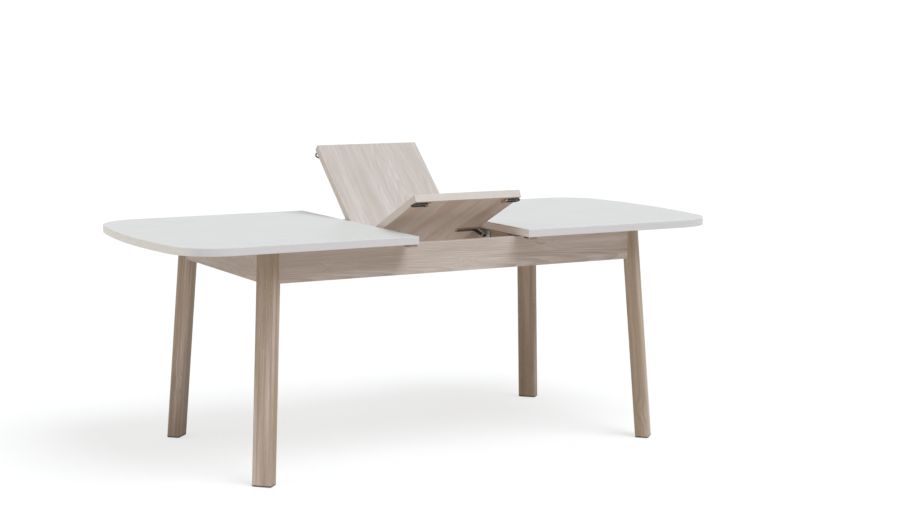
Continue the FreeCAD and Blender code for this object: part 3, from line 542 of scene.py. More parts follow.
# Ranges of the dot product of the normal that tell the faces of a piece apart.
BOARD_UNDERSIDE: Span = (-0.3, -0.8)
ARM_UNDERSIDE: Span = (-0.3, -0.6)
BOARD_EDGE: Span = (0.6, 0.3)
BOARD_END: Span = (0.4, 0.6)
TOP_EDGE: Span = (0.75, 0.3)
TOP_CUT: Span = (0.5, 0.3)
# Lipping at the bow ends, which takes painted light.
TOP_BOW_PAINTED_LIGHT: Span = (0.6, 0.95)


@dataclass(frozen=True)
class Oak(Finish):
    """Sawn timber or veneer with rings, streaks, fibres and pores."""

    early: Colour = WHITE
    warm: Colour = WHITE
    late: Colour = WHITE
    streak: Colour = WHITE
    pore: Colour = WHITE
    bare: Colour = WHITE
    # Tint of the faces turned from the board's face, darker and warmer: painted shade.
    under: Colour = WHITE
    under_warm: Colour = WHITE
    end_band: Colour = WHITE
    side_band: Colour = WHITE
    painted_foot_shadow: Colour = WHITE
    ring: float = 0.007
    pith_depth: float = 0.05
    pith_side: float = 0.0
    pith_slope: float = 0.06
    wander: float = 0.012
    streak_step: float = 2.4
    knot: float = 0.0
    streak_share: float = 0.5
    ring_share: float = 0.6
    fibre_share: float = 0.3
    pore_share: float = 0.7
    band_share: float = 0.0
    edge_share: float = 0.55
    edge_radius: float = 0.003
    edge_breakup: float = 60.0
    painted_shadow_top: float = 0.0
    painted_shadow_blur: float = 0.0015
    fibre_dull: float = 0.14
    pore_dull: float = 0.2
    gloss: float = 0.3
    depth: float = 0.0002

    def colour(self, surface: Surface, place: Socket) -> tuple[Socket, Any]:
        """Paints the timber's figure.

        Args:
            surface: the material.
            place: coordinates with the grain along X.

        Returns:
            The colour, and the outputs of the figure group.
        """
        graph = surface.graph
        feeds = {
            "Place": place,
            "Ring": self.ring,
            "Pith depth": self.pith_depth,
            "Pith side": self.pith_side,
            "Pith slope": self.pith_slope,
            "Wander": self.wander,
            "Streak step": self.streak_step,
            "Knot": self.knot,
            "Cut": surface.lie.cut(),
        }
        figure = graph.group(surface.effects.figure, feeds)
        layers = (
            ("Streaks", self.streak_share, self.streak),
            ("Rings", self.ring_share, self.late),
            ("Fibres", self.fibre_share, self.late),
            ("Pores", self.pore_share, self.pore),
        )
        colour = graph.mix(figure["Tone"], self.early, self.warm)
        for mask, share, tint in layers:
            colour = graph.mix(graph.product(figure[mask], share), colour, tint)
        return colour, figure

    def nodes(self, surface: Surface) -> None:
        """Fills a timber material; see Finish.nodes.

        Args:
            surface: the material.
        """
        graph = surface.graph
        colour, figure = self.colour(surface, surface.place)
        normal = surface.coordinates("Normal")
        facing = graph.dot(normal, surface.lie.face)
        # Faces turned from the board's face take a darker, warmer tint: painted shade on the
        # underside.
        tint = graph.mix(figure["Tone"], self.under, self.under_warm)
        underside_painted_shade = graph.mix(1.0, colour, tint, "MULTIPLY")
        colour = graph.mix(graph.ramp(facing, BOARD_UNDERSIDE), colour, underside_painted_shade)

        aside = graph.product(graph.ramp(graph.size(facing), BOARD_EDGE), self.band_share)
        ends = graph.ramp(graph.size(graph.dot(normal, surface.lie.grain)), BOARD_END)
        colour = graph.mix(aside, colour, graph.mix(ends, self.side_band, self.end_band))

        wear = surface.wear(self.edge_radius, self.edge_breakup)
        colour = graph.mix(graph.product(wear["Worn"], self.edge_share), colour, self.bare)
        # The last few millimetres above the floor are painted dark: a painted contact shadow at the
        # feet.
        height = graph.parts(surface.coordinates("Object"))[2]
        foot_shadow_mask = graph.ramp(height, (self.painted_shadow_top, self.painted_shadow_top - self.painted_shadow_blur))
        surface.feed("Base Color", graph.mix(foot_shadow_mask, colour, self.painted_foot_shadow))

        satin = graph.math("MULTIPLY_ADD", figure["Fibres"], self.fibre_dull, self.rough)
        dull = graph.math("MULTIPLY_ADD", figure["Pores"], self.pore_dull, satin)
        surface.feed("Roughness", dull)
        surface.feed("Specular IOR Level", self.gloss)
        surface.emboss(figure["Height"], self.depth)


@dataclass(frozen=True)
class WhiteTop(Finish):
    """White lacquered board with a white lipping and a bare timber cut face."""

    core: Oak
    white: Colour
    rim: Colour
    bow_rim_painted_light: Colour
    painted_glint: Colour
    line: Colour
    cut: float = 0.2032
    lipping: float = 0.432
    fade: float = 0.345
    line_low: float = 0.7472
    line_high: float = 0.7486
    line_blur: float = 0.0004
    line_share: float = 0.8
    marks_size: float = 9.0
    cloud_share: float = 0.06
    cloud_dull: float = 0.08
    scratch_dull: float = 0.1
    sawn_dull: float = 0.25
    edge_radius: float = 0.0025
    edge_breakup: float = 60.0
    edge_share: float = 0.75
    gloss: float = 0.4
    peel_cells: Cells = (420.0, 420.0, 420.0)
    peel_share: float = 0.25
    depth: float = 0.0001

    def face(self, surface: Surface, normal: tuple[Socket, ...], clouds: Socket) -> Socket:
        """Paints the lacquer, the lipping with a painted highlight on the bow ends, and a painted
        highlight along the edges.

        Args:
            surface: the material.
            normal: the three parts of the normal.
            clouds: mask of the wipe marks.

        Returns:
            The colour.
        """
        graph = surface.graph
        # The lipping at the bow ends is painted lighter than at the front and back: painted light.
        painted_bow_light = graph.ramp(graph.size(normal[0]), TOP_BOW_PAINTED_LIGHT)
        rim_with_painted_light = graph.mix(painted_bow_light, self.rim, self.bow_rim_painted_light)
        wiped = graph.mix(graph.product(clouds, self.cloud_share), self.white, self.rim)
        colour = graph.mix(graph.ramp(graph.size(normal[2]), TOP_EDGE), wiped, rim_with_painted_light)
        # The edge mask, without breakup, lays a painted highlight along the eased edges.
        wear = surface.wear(self.edge_radius, self.edge_breakup)
        return graph.mix(graph.product(wear["Edge"], self.edge_share), colour, self.painted_glint)

    def nodes(self, surface: Surface) -> None:
        """Fills the top's material; see Finish.nodes.

        Args:
            surface: the material.
        """
        graph = surface.graph
        along, across, up = graph.parts(surface.coordinates("Object"))
        normal = graph.parts(surface.coordinates("Normal"))
        marks = surface.marks(self.marks_size)
        lacquer = self.face(surface, normal, marks["Clouds"])

        # The cut face towards the leaf shows timber, with a dark line under the lacquer.
        wood, figure = self.core.colour(surface, graph.joined({0: across, 1: along, 2: up}))
        above = graph.ramp(up, (self.line_low, self.line_low + self.line_blur))
        below = graph.ramp(up, (self.line_high, self.line_high - self.line_blur))
        line = graph.product(graph.product(above, below), self.line_share)
        wood = graph.mix(line, wood, self.line)
        inner = graph.math("LESS_THAN", graph.size(along), self.cut)
        middle = graph.ramp(graph.size(across), (self.lipping, self.fade))
        upright = graph.ramp(graph.size(normal[2]), TOP_CUT)
        sawn = graph.product(graph.product(inner, middle), upright)
        surface.feed("Base Color", graph.mix(sawn, lacquer, wood))

        dull = graph.math("MULTIPLY_ADD", marks["Clouds"], self.cloud_dull, self.rough)
        dull = graph.math("MULTIPLY_ADD", marks["Scratches"], self.scratch_dull, dull)
        surface.feed("Roughness", graph.math("MULTIPLY_ADD", sawn, self.sawn_dull, dull))
        surface.feed("Specular IOR Level", self.gloss)
        peel = graph.noise(graph.vector("MULTIPLY", surface.place, self.peel_cells))
        peel = graph.product(peel, self.peel_share)
        surface.emboss(graph.math("MULTIPLY_ADD", figure["Height"], sawn, peel), self.depth)


@dataclass(frozen=True)
class Metal(Finish):
    """Bright or plated metal with drawing lines, spots and polished edges."""

    base: Colour
    dull: Colour
    bright: Colour
    fineness: float = 1400.0
    spot_share: float = 0.6
    line_share: float = 0.25
    edge_radius: float = 0.0008
    edge_breakup: float = 300.0
    spot_dull: float = 0.15
    edge_dull: float = -0.1
    depth: float = 0.00003

    def nodes(self, surface: Surface) -> None:
        """Fills a metal material; see Finish.nodes.

        Args:
            surface: the material.
        """
        graph = surface.graph
        feeds = {"Place": surface.place, "Fineness": self.fineness}
        drawn = graph.group(surface.effects.lines, feeds)
        spots = graph.product(drawn["Spots"], self.spot_share)
        lines = graph.product(drawn["Lines"], self.line_share)
        colour = graph.mix(lines, graph.mix(spots, self.base, self.dull), self.bright)
        worn = surface.wear(self.edge_radius, self.edge_breakup)["Worn"]
        surface.feed("Base Color", graph.mix(worn, colour, self.bright))
        rough = graph.math("MULTIPLY_ADD", drawn["Spots"], self.spot_dull, self.rough)
        surface.feed("Roughness", graph.math("MULTIPLY_ADD", worn, self.edge_dull, rough))
        surface.feed("Metallic", 1.0)
        surface.emboss(drawn["Lines"], self.depth)


@dataclass(frozen=True)
class Coating(Finish):
    """Dark paint on steel, or moulded nylon: fine texture, marks and worn edges."""

    base: Colour
    cloudy: Colour
    worn: Colour
    # Colour of the faces turned away from the piece's face; on the pivot arms it is painted shade.
    under: Colour | None = None
    marks_size: float = 60.0
    edge_radius: float = 0.0009
    edge_breakup: float = 250.0
    edge_share: float = 0.6
    cloud_dull: float = 0.15
    gloss: float = 0.5
    texture: float = 1100.0
    depth: float = 0.00006

    def nodes(self, surface: Surface) -> None:
        """Fills a coated material; see Finish.nodes.

        Args:
            surface: the material.
        """
        graph = surface.graph
        clouds = surface.marks(self.marks_size)["Clouds"]
        colour = graph.mix(clouds, self.base, self.cloudy)
        # Faces turned away from the piece's face take the under colour: a painted shade line
        # beneath the pivot arms.
        if self.under is not None:
            facing = graph.dot(surface.coordinates("Normal"), surface.lie.face)
            colour = graph.mix(graph.ramp(facing, ARM_UNDERSIDE), colour, self.under)
        wear = surface.wear(self.edge_radius, self.edge_breakup)
        worn = graph.product(wear["Worn"], self.edge_share)
        surface.feed("Base Color", graph.mix(worn, colour, self.worn))
        rough = graph.math("MULTIPLY_ADD", clouds, self.cloud_dull, self.rough)
        surface.feed("Roughness", rough)
        surface.feed("Specular IOR Level", self.gloss)
        surface.emboss(graph.noise(graph.scaled(surface.place, self.texture)), self.depth)


LIMED_OAK = Oak(
    "limed_oak",
    0.5,
    early=linear(228, 213, 201),
    warm=linear(182, 162, 142),
    late=linear(150, 129, 108),
    streak=linear(171, 151, 132),
    pore=linear(222, 214, 206),
    bare=linear(226, 216, 206),
    painted_foot_shadow=linear(84, 72, 62),
    ring=0.0045,
    pith_depth=0.05,
    pith_side=0.11,
    pith_slope=0.02,
    wander=0.016,
    streak_step=1.5,
    knot=0.004,
    streak_share=0.85,
    ring_share=0.45,
    painted_shadow_top=0.0068,
)
APRON_OAK = replace(
    LIMED_OAK,
    name="apron_oak",
    early=linear(226, 215, 208),
    warm=linear(214, 201, 191),
    late=linear(164, 147, 133),
    streak=linear(191, 177, 167),
    pith_side=-0.045,
    pith_slope=0.03,
    streak_step=3.0,
    knot=0.012,
    streak_share=0.6,
    ring_share=0.62,
)
CORE_OAK = replace(
    LIMED_OAK,
    name="core_oak",
    early=linear(248, 241, 234),
    warm=linear(243, 233, 222),
    late=linear(212, 195, 180),
    streak=linear(228, 215, 204),
)
PALE_OAK = Oak(
    "pale_oak",
    0.48,
    early=linear(215, 207, 202),
    warm=linear(207, 197, 190),
    late=linear(178, 164, 155),
    streak=linear(193, 182, 176),
    pore=linear(190, 175, 165),
    bare=linear(230, 220, 206),
    under=linear(248, 240, 232),
    under_warm=linear(240, 224, 210),
    end_band=linear(218, 211, 205),
    side_band=linear(240, 226, 215),
    ring=0.006,
    pith_depth=0.06,
    pith_side=0.05,
    pith_slope=0.09,
    wander=0.03,
    streak_step=4.5,
    knot=0.01,
    streak_share=0.75,
    ring_share=0.42,
    band_share=0.7,
)
PLAIN_BEECH = Oak(
    "plain_beech",
    0.58,
    early=linear(205, 182, 152),
    warm=linear(196, 170, 140),
    late=linear(168, 138, 108),
    streak=linear(186, 158, 132),
    pore=linear(150, 118, 92),
    bare=linear(214, 194, 166),
    ring=0.004,
    pith_depth=0.09,
)
WHITE_TOP = WhiteTop(
    "white_top",
    0.4,
    core=CORE_OAK,
    white=linear(211, 212, 209),
    rim=linear(220, 218, 221),
    bow_rim_painted_light=linear(244, 241, 235),
    painted_glint=linear(240, 239, 238),
    line=linear(110, 94, 80),
)
ZINC_STEEL = Metal(
    "zinc_steel",
    0.36,
    base=linear(186, 188, 186),
    dull=linear(158, 160, 156),
    bright=linear(222, 224, 224),
)
DARK_ZINC = replace(
    ZINC_STEEL,
    name="dark_zinc",
    base=linear(92, 90, 88),
    dull=linear(66, 64, 62),
    bright=linear(136, 134, 132),
)
MILL_ALUMINIUM = Metal(
    "mill_aluminium",
    0.34,
    base=linear(196, 198, 200),
    dull=linear(174, 176, 178),
    bright=linear(224, 226, 228),
)
BRASS = Metal(
    "brass",
    0.3,
    base=linear(204, 172, 108),
    dull=linear(166, 132, 76),
    bright=linear(232, 206, 146),
)
DARK_STEEL = Coating(
    "dark_steel",
    0.42,
    base=linear(46, 43, 42),
    cloudy=linear(58, 55, 53),
    worn=linear(120, 116, 112),
)
ARM_STEEL = Coating(
    "arm_steel",
    0.4,
    base=linear(178, 160, 144),
    cloudy=linear(190, 173, 158),
    worn=linear(202, 188, 174),
    # Near-black underside: painted shade.
    under=linear(26, 22, 20),
    gloss=0.08,
)
SADDLE_STEEL = replace(
    ARM_STEEL, name="saddle_steel", base=linear(122, 110, 99), under=None, gloss=0.3
)
GREY_NYLON = Coating(
    "grey_nylon",
    0.55,
    base=linear(98, 99, 100),
    cloudy=linear(112, 113, 113),
    worn=linear(150, 151, 151),
)


def middle_of(name: str) -> Vector:
    """Gives the middle of a node's box."""
    low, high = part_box(name)
    return (Vector(low) + Vector(high)) / 2


def straight(name: str, grain: Direction, face: Direction) -> Lie:
    """Gives the lie of a piece that is square to the frame.

    Args:
        name: the node.
        grain: which way its grain runs.
        face: which way its broad face looks.

    Returns:
        The lie.
    """
    return Lie(middle_of(name), grain.value, face.value)


@dataclass
class Assembly:
    """Pieces that are dressed together."""

    effects: SharedEffects

    def coat(self, name: str, finish: Finish, lie: Lie) -> None:
        """Gives a node its finish.

        Args:
            name: the node.
            finish: its finish.
            lie: how it lies.
        """
        made = finish.material(name, lie, self.effects)
        for slot in frame["nodes"][name].material_slots:
            slot.material = made
        log.info("dressed %s as %s", name, finish.name)

    def coat_straight(
        self, names: Iterable[str], finish: Finish, grain: Direction, face: Direction
    ) -> None:
        """Gives nodes that are square to the frame their finish.

        Args:
            names: the nodes.
            finish: their finish.
            grain: which way their grain runs.
            face: which way their broad faces look.
        """
        for name in names:
            self.coat(name, finish, straight(name, grain, face))

    def dress(self) -> None:
        """Dresses every piece of the assembly."""
        raise NotImplementedError


@dataclass
class Base(Assembly):
    """Legs, aprons, corner blocks and cross rails."""

    lean: float = 0.058
    # Each leg's shift places its tone zones; they are set so the front-left leg is darker at its
    # top and lighter at its foot: painted shade from the top's overhang, on wood whose tone differs
    # along it.
    leg_tone_and_shade_shifts: dict[str, float] = field(
        default_factory=lambda: {
            "front_left": 6.15,
            "front_right": 0.0,
            "back_left": 3.28,
            "back_right": 6.97,
        }
    )

    def dress_corner(self, end: str, side: str) -> None:
        """Dresses one leg and the block behind it.

        Args:
            end: front or back.
            side: left or right.
        """
        sx, sy = SIDES[side], ENDS[end]
        corner = f"{end}_{side}"
        leg, block = f"leg_{corner}", f"corner_block_{corner}"
        upwards = Vector((-sx * self.lean, -sy * self.lean, 1.0))
        outwards = Vector((sx, sy, 0.0))
        self.coat(leg, LIMED_OAK, Lie(middle_of(leg), upwards, outwards, self.leg_tone_and_shade_shifts[corner]))
        sideways = Vector((sx, -sy, 0.0))
        self.coat(block, PLAIN_BEECH, Lie(middle_of(block), sideways, Direction.Z.value))

    def dress(self) -> None:
        """Gives each timber piece its own cut of oak or beech, and the pads their nylon."""
        for end in ENDS:
            for side in SIDES:
                self.dress_corner(end, side)
        long_aprons = [f"apron_{end}" for end in ENDS]
        end_aprons = [f"apron_{side}" for side in SIDES]
        rails = [f"rail_{side}" for side in SIDES]
        self.coat_straight(long_aprons, APRON_OAK, Direction.X, Direction.Y)
        self.coat_straight(end_aprons, APRON_OAK, Direction.Y, Direction.X)
        self.coat_straight(rails, LIMED_OAK, Direction.Y, Direction.X)
        self.coat_straight(("foot_glides", "glide_pads"), GREY_NYLON, Direction.X, Direction.Z)


@dataclass
class SlideGear(Assembly):
    """Channels, runners and stops that carry the halves of the top."""

    def dress(self) -> None:
        """Gives the extrusions drawing lines along X, and the stops their nylon."""
        for end in ENDS:
            drawn = [f"slide_channel_{end}", *(f"{side}_runner_{end}" for side in SIDES)]
            self.coat_straight(drawn, MILL_ALUMINIUM, Direction.X, Direction.Y)
        self.coat_straight(("channel_stops",), GREY_NYLON, Direction.X, Direction.Z)


@dataclass
class TopHalf(Assembly):
    """One half of the top and the sockets under it."""

    side: str

    def dress(self) -> None:
        """Gives the half its white finish and the sockets their oak."""
        sockets = f"{self.side}_prong_sockets"
        self.coat_straight((f"{self.side}_top",), WHITE_TOP, Direction.X, Direction.Z)
        self.coat_straight((sockets,), LIMED_OAK, Direction.Y, Direction.Z)


@dataclass
class Leaf(Assembly):
    """The two boards of the leaf with hinges, pivots and prongs."""

    tilt: float = math.radians(-25.0)
    fold: float = math.radians(42.5)

    def dress_board(self, end: str, angle: float) -> None:
        """Dresses one board, its prongs and its hinge plates.

        Args:
            end: front or back.
            angle: its slope.
        """
        turn = Matrix.Rotation(angle, 3, "X")
        face = turn @ Direction.Z.value
        board = f"leaf_{end}_board"
        self.coat(board, PALE_OAK, Lie(middle_of(board), turn @ Direction.Y.value, face))
        metals = {
            f"prongs_{end}": DARK_STEEL,
            f"prong_saddles_{end}": SADDLE_STEEL,
            f"hinge_{end}_plates": ZINC_STEEL,
        }
        for name, finish in metals.items():
            self.coat(name, finish, Lie(middle_of(name), Direction.X.value, face))

    def dress(self) -> None:
        """Dresses both boards and the pivot between them and the rails."""
        self.dress_board("front", self.tilt)
        self.dress_board("back", self.fold)
        face = Matrix.Rotation(self.tilt, 3, "X") @ Direction.Z.value
        for name in (f"pivot_arm_{side}" for side in SIDES):
            self.coat(name, ARM_STEEL, Lie(middle_of(name), Direction.X.value, face))
        plated = ("hinge_pins", "pivot_plates", "pivot_pins")
        self.coat_straight(plated, ZINC_STEEL, Direction.X, Direction.Z)
        self.coat_straight(("pivot_bushes",), BRASS, Direction.X, Direction.Z)


# Points closer than this are one point, in metres: in a CAD mesh, and after a spin.
SOLID_MERGE = 1e-6
SPIN_MERGE = 1e-7

# Points further out than this share of the widest radius belong to a fastener's head.
HEAD_SHARE = 0.75

# Where the search for a screw's axis starts, and how often it is repeated.
AXIS_START = Vector((0.31, 0.57, 0.76))
AXIS_ROUNDS = 60


@dataclass(frozen=True)
class Seat:
    """One fastener as its solid shows it: outer end of its axis, way to its point, and sizes."""

    head: Vector
    point: Vector
    length: float
    head_radius: float
    head_height: float
    shank_radius: float

    def place(self, turn: float) -> Matrix:
        """Gives the place of a fastener drawn upright with its bearing face at zero.

        Args:
            turn: how far it is turned about its axis.

        Returns:
            The matrix that puts it there.
        """
        upright = (-self.point).to_track_quat("Z", "Y").to_matrix().to_4x4()
        seat = Matrix.Translation(self.head + self.point * self.head_height)
        return seat @ upright @ Matrix.Rotation(turn, 4, "Z")


def solids_of(name: str) -> list[list[Vector]]:
    """Splits a node into its separate solids.

    Args:
        name: the node.

    Returns:
        The points of each solid.
    """
    form = bmesh.new()
    form.from_mesh(frame["nodes"][name].data)
    bmesh.ops.remove_doubles(form, verts=form.verts, dist=SOLID_MERGE)
    seen = set()
    solids = []
    for start in form.verts:
        if start in seen:
            continue
        seen.add(start)
        linked = [start]
        for vert in linked:
            for edge in vert.link_edges:
                other = edge.other_vert(vert)
                if other not in seen:
                    seen.add(other)
                    linked.append(other)
        solids.append([vert.co.copy() for vert in linked])
    form.free()
    return solids


def measure(points: list[Vector], axis: Vector) -> Seat:
    """Reads a fastener's sizes from its points.

    Args:
        points: the points of its solid.
        axis: a vector along it, either way.

    Returns:
        Its seat, with the wider end as the head.
    """
    middle = sum(points, Vector()) / len(points)
    steps = [(point - middle).dot(axis) for point in points]
    radii = [(point - middle - axis * step).length for point, step in zip(points, steps)]
    low, high = min(steps), max(steps)
    widest = max(radii)
    wide = [step for step, radius in zip(steps, radii) if radius > HEAD_SHARE * widest]
    if (min(wide) + max(wide)) / 2 > (low + high) / 2:
        axis, low, high = -axis, -high, -low
        wide = [-step for step in wide]
    return Seat(middle + axis * low, axis, high - low, widest, max(wide) - low, min(radii))


def turned(profile: list[Span], segments: int, closed: bool = False) -> Form:
    """Spins a profile about Z.

    Args:
        profile: radius and height of each point.
        segments: steps of the full turn.
        closed: True joins the last point to the first.

    Returns:
        The turned form.
    """
    form = bmesh.new()
    verts = [form.verts.new((radius, 0.0, height)) for radius, height in profile]
    pairs = list(zip(verts, verts[1:]))
    if closed:
        pairs.append((verts[-1], verts[0]))
    edges = [form.edges.new(pair) for pair in pairs]
    bmesh.ops.spin(
        form,
        geom=verts + edges,
        cent=(0.0, 0.0, 0.0),
        axis=Direction.Z.value,
        angle=math.tau,
        steps=segments,
        use_merge=True,
    )
    bmesh.ops.remove_doubles(form, verts=form.verts, dist=SPIN_MERGE)
    bmesh.ops.recalc_face_normals(form, faces=form.faces)
    return form


@dataclass(frozen=True)
class Screw:
    """A screw with a domed head, a cross recess and a ridged shank, in shares of its sizes."""

    segments: int = 16
    hub: Span = (0.2, 0.99)
    rim: Span = (0.58, 0.93)
    dome: tuple[Span, ...] = ((0.82, 0.77), (0.95, 0.52), (1.0, 0.25), (0.97, 0.0))
    crown: float = 0.9
    recess_arms: int = 4
    recess_depth: float = 0.55
    recess_taper: float = 0.72
    ridges: int = 8
    ridge_start: float = 0.08
    ridge_reach: float = 0.8
    ridge_crest: float = 0.6
    ridge_root: float = 0.78
    tip: float = 0.9

    def profile(self, seat: Seat) -> list[Span]:
        """Draws half of the screw's outline.

        Args:
            seat: its sizes.

        Returns:
            Radius and height of each point, from the crown down to the tip.
        """
        wide, tall, shank = seat.head_radius, seat.head_height, seat.shank_radius
        reach = seat.length - tall
        root = self.ridge_root * shank
        points = [(0.0, tall)]
        points += [(out * wide, up * tall) for out, up in (self.hub, self.rim, *self.dome)]
        points.append((shank, 0.0))
        pitch = self.ridge_reach * reach / self.ridges
        for step in range(self.ridges):
            depth = self.ridge_start * reach + step * pitch
            points += [(root, -depth), (shank, -depth - self.ridge_crest * pitch)]
        return points + [(root, -self.tip * reach), (0.0, -reach)]

    def recess(self, form: Form, seat: Seat) -> list[bmesh.types.BMFace]:
        """Finds the faces of the crown that the cross recess takes.

        Args:
            form: the turned screw.
            seat: its sizes.

        Returns:
            The faces.
        """
        arm_width = math.tau / self.segments
        arms = []
        for face in form.faces:
            centre = face.calc_center_median()
            out = centre.xy.length / seat.head_radius
            if centre.z < self.crown * seat.head_height or out > self.rim[0]:
                continue
            angle = math.atan2(centre.y, centre.x) % (math.tau / self.recess_arms)
            if out < self.hub[0] or angle < arm_width:
                arms.append(face)
        return arms

    def form(self, seat: Seat) -> Form:
        """Turns the screw and sinks its recess.

        Args:
            seat: its sizes.

        Returns:
            The screw, upright, with the underside of its head at zero.
        """
        form = turned(self.profile(seat), self.segments)
        arms = self.recess(form, seat)
        sunk = bmesh.ops.extrude_face_region(form, geom=arms)["geom"]
        verts = [part for part in sunk if isinstance(part, bmesh.types.BMVert)]
        drop = -self.recess_depth * seat.head_height
        bmesh.ops.scale(form, vec=(self.recess_taper, self.recess_taper, 1.0), verts=verts)
        bmesh.ops.translate(form, vec=(0.0, 0.0, drop), verts=verts)
        bmesh.ops.delete(form, geom=arms, context="FACES")
        bmesh.ops.recalc_face_normals(form, faces=form.faces)
        return form


@dataclass(frozen=True)
class Bolt:
    """A threaded rod: its pitch in metres, the rest in shares of its radius or pitch."""

    segments: int = 16
    pitch: float = 0.002
    end: float = 0.8
    root: float = 0.86
    crest: float = 0.4
    fall: float = 0.45

    def form(self, seat: Seat) -> Form:
        """Turns the rod.

        Args:
            seat: its sizes.

        Returns:
            The rod, upright, from its bearing face at zero down.
        """
        radius = seat.head_radius
        top, bottom = seat.head_height, seat.head_height - seat.length
        count = int(seat.length / self.pitch)
        pitch = seat.length / count
        profile = [(0.0, top), (self.end * radius, top)]
        for step in range(count):
            height = top - (step + self.crest) * pitch
            profile += [(radius, height), (self.root * radius, height - self.fall * pitch)]
        profile += [(self.end * radius, bottom), (0.0, bottom)]
        return turned(profile, self.segments)


@dataclass(frozen=True)
class Nut:
    """A chamfered nut, in shares of its height and of the radius of its corners."""

    segments: int = 48
    flats: int = 6
    slope: float = 0.09
    face: float = 0.97
    bore_width: float = 0.06
    bore_depth: float = 0.05

    def form(self, seat: Seat) -> Form:
        """Turns the nut and cuts its flats.

        Args:
            seat: its sizes; the head is the corners, and the shank the bore.

        Returns:
            The nut, upright, with its outer face at its own height.
        """
        corner, tall, bore = seat.head_radius, seat.length, seat.shank_radius
        flat = corner * math.cos(math.pi / self.flats)
        slope = self.slope * tall
        profile = [
            (bore, 0.0),
            (self.face * flat, 0.0),
            (corner, slope),
            (corner, tall - slope),
            (self.face * flat, tall),
            (bore + self.bore_width * corner, tall),
            (bore, tall - self.bore_depth * corner),
        ]
        form = turned(profile, self.segments, closed=True)
        for step in range(self.flats):
            angle = (step + 0.5) * math.tau / self.flats
            way = Vector((math.cos(angle), math.sin(angle), 0.0))
            parts = form.verts[:] + form.edges[:] + form.faces[:]
            cut = bmesh.ops.bisect_plane(
                form, geom=parts, plane_co=way * flat, plane_no=way, clear_outer=True
            )
            edges = [part for part in cut["geom_cut"] if isinstance(part, bmesh.types.BMEdge)]
            bmesh.ops.edgenet_fill(form, edges=edges)
        bmesh.ops.recalc_face_normals(form, faces=form.faces)
        return form


class Kind(Enum):
    """What a fastener node holds."""

    SCREWS = Screw()
    BOLTS = Bolt()
    NUTS = Nut()


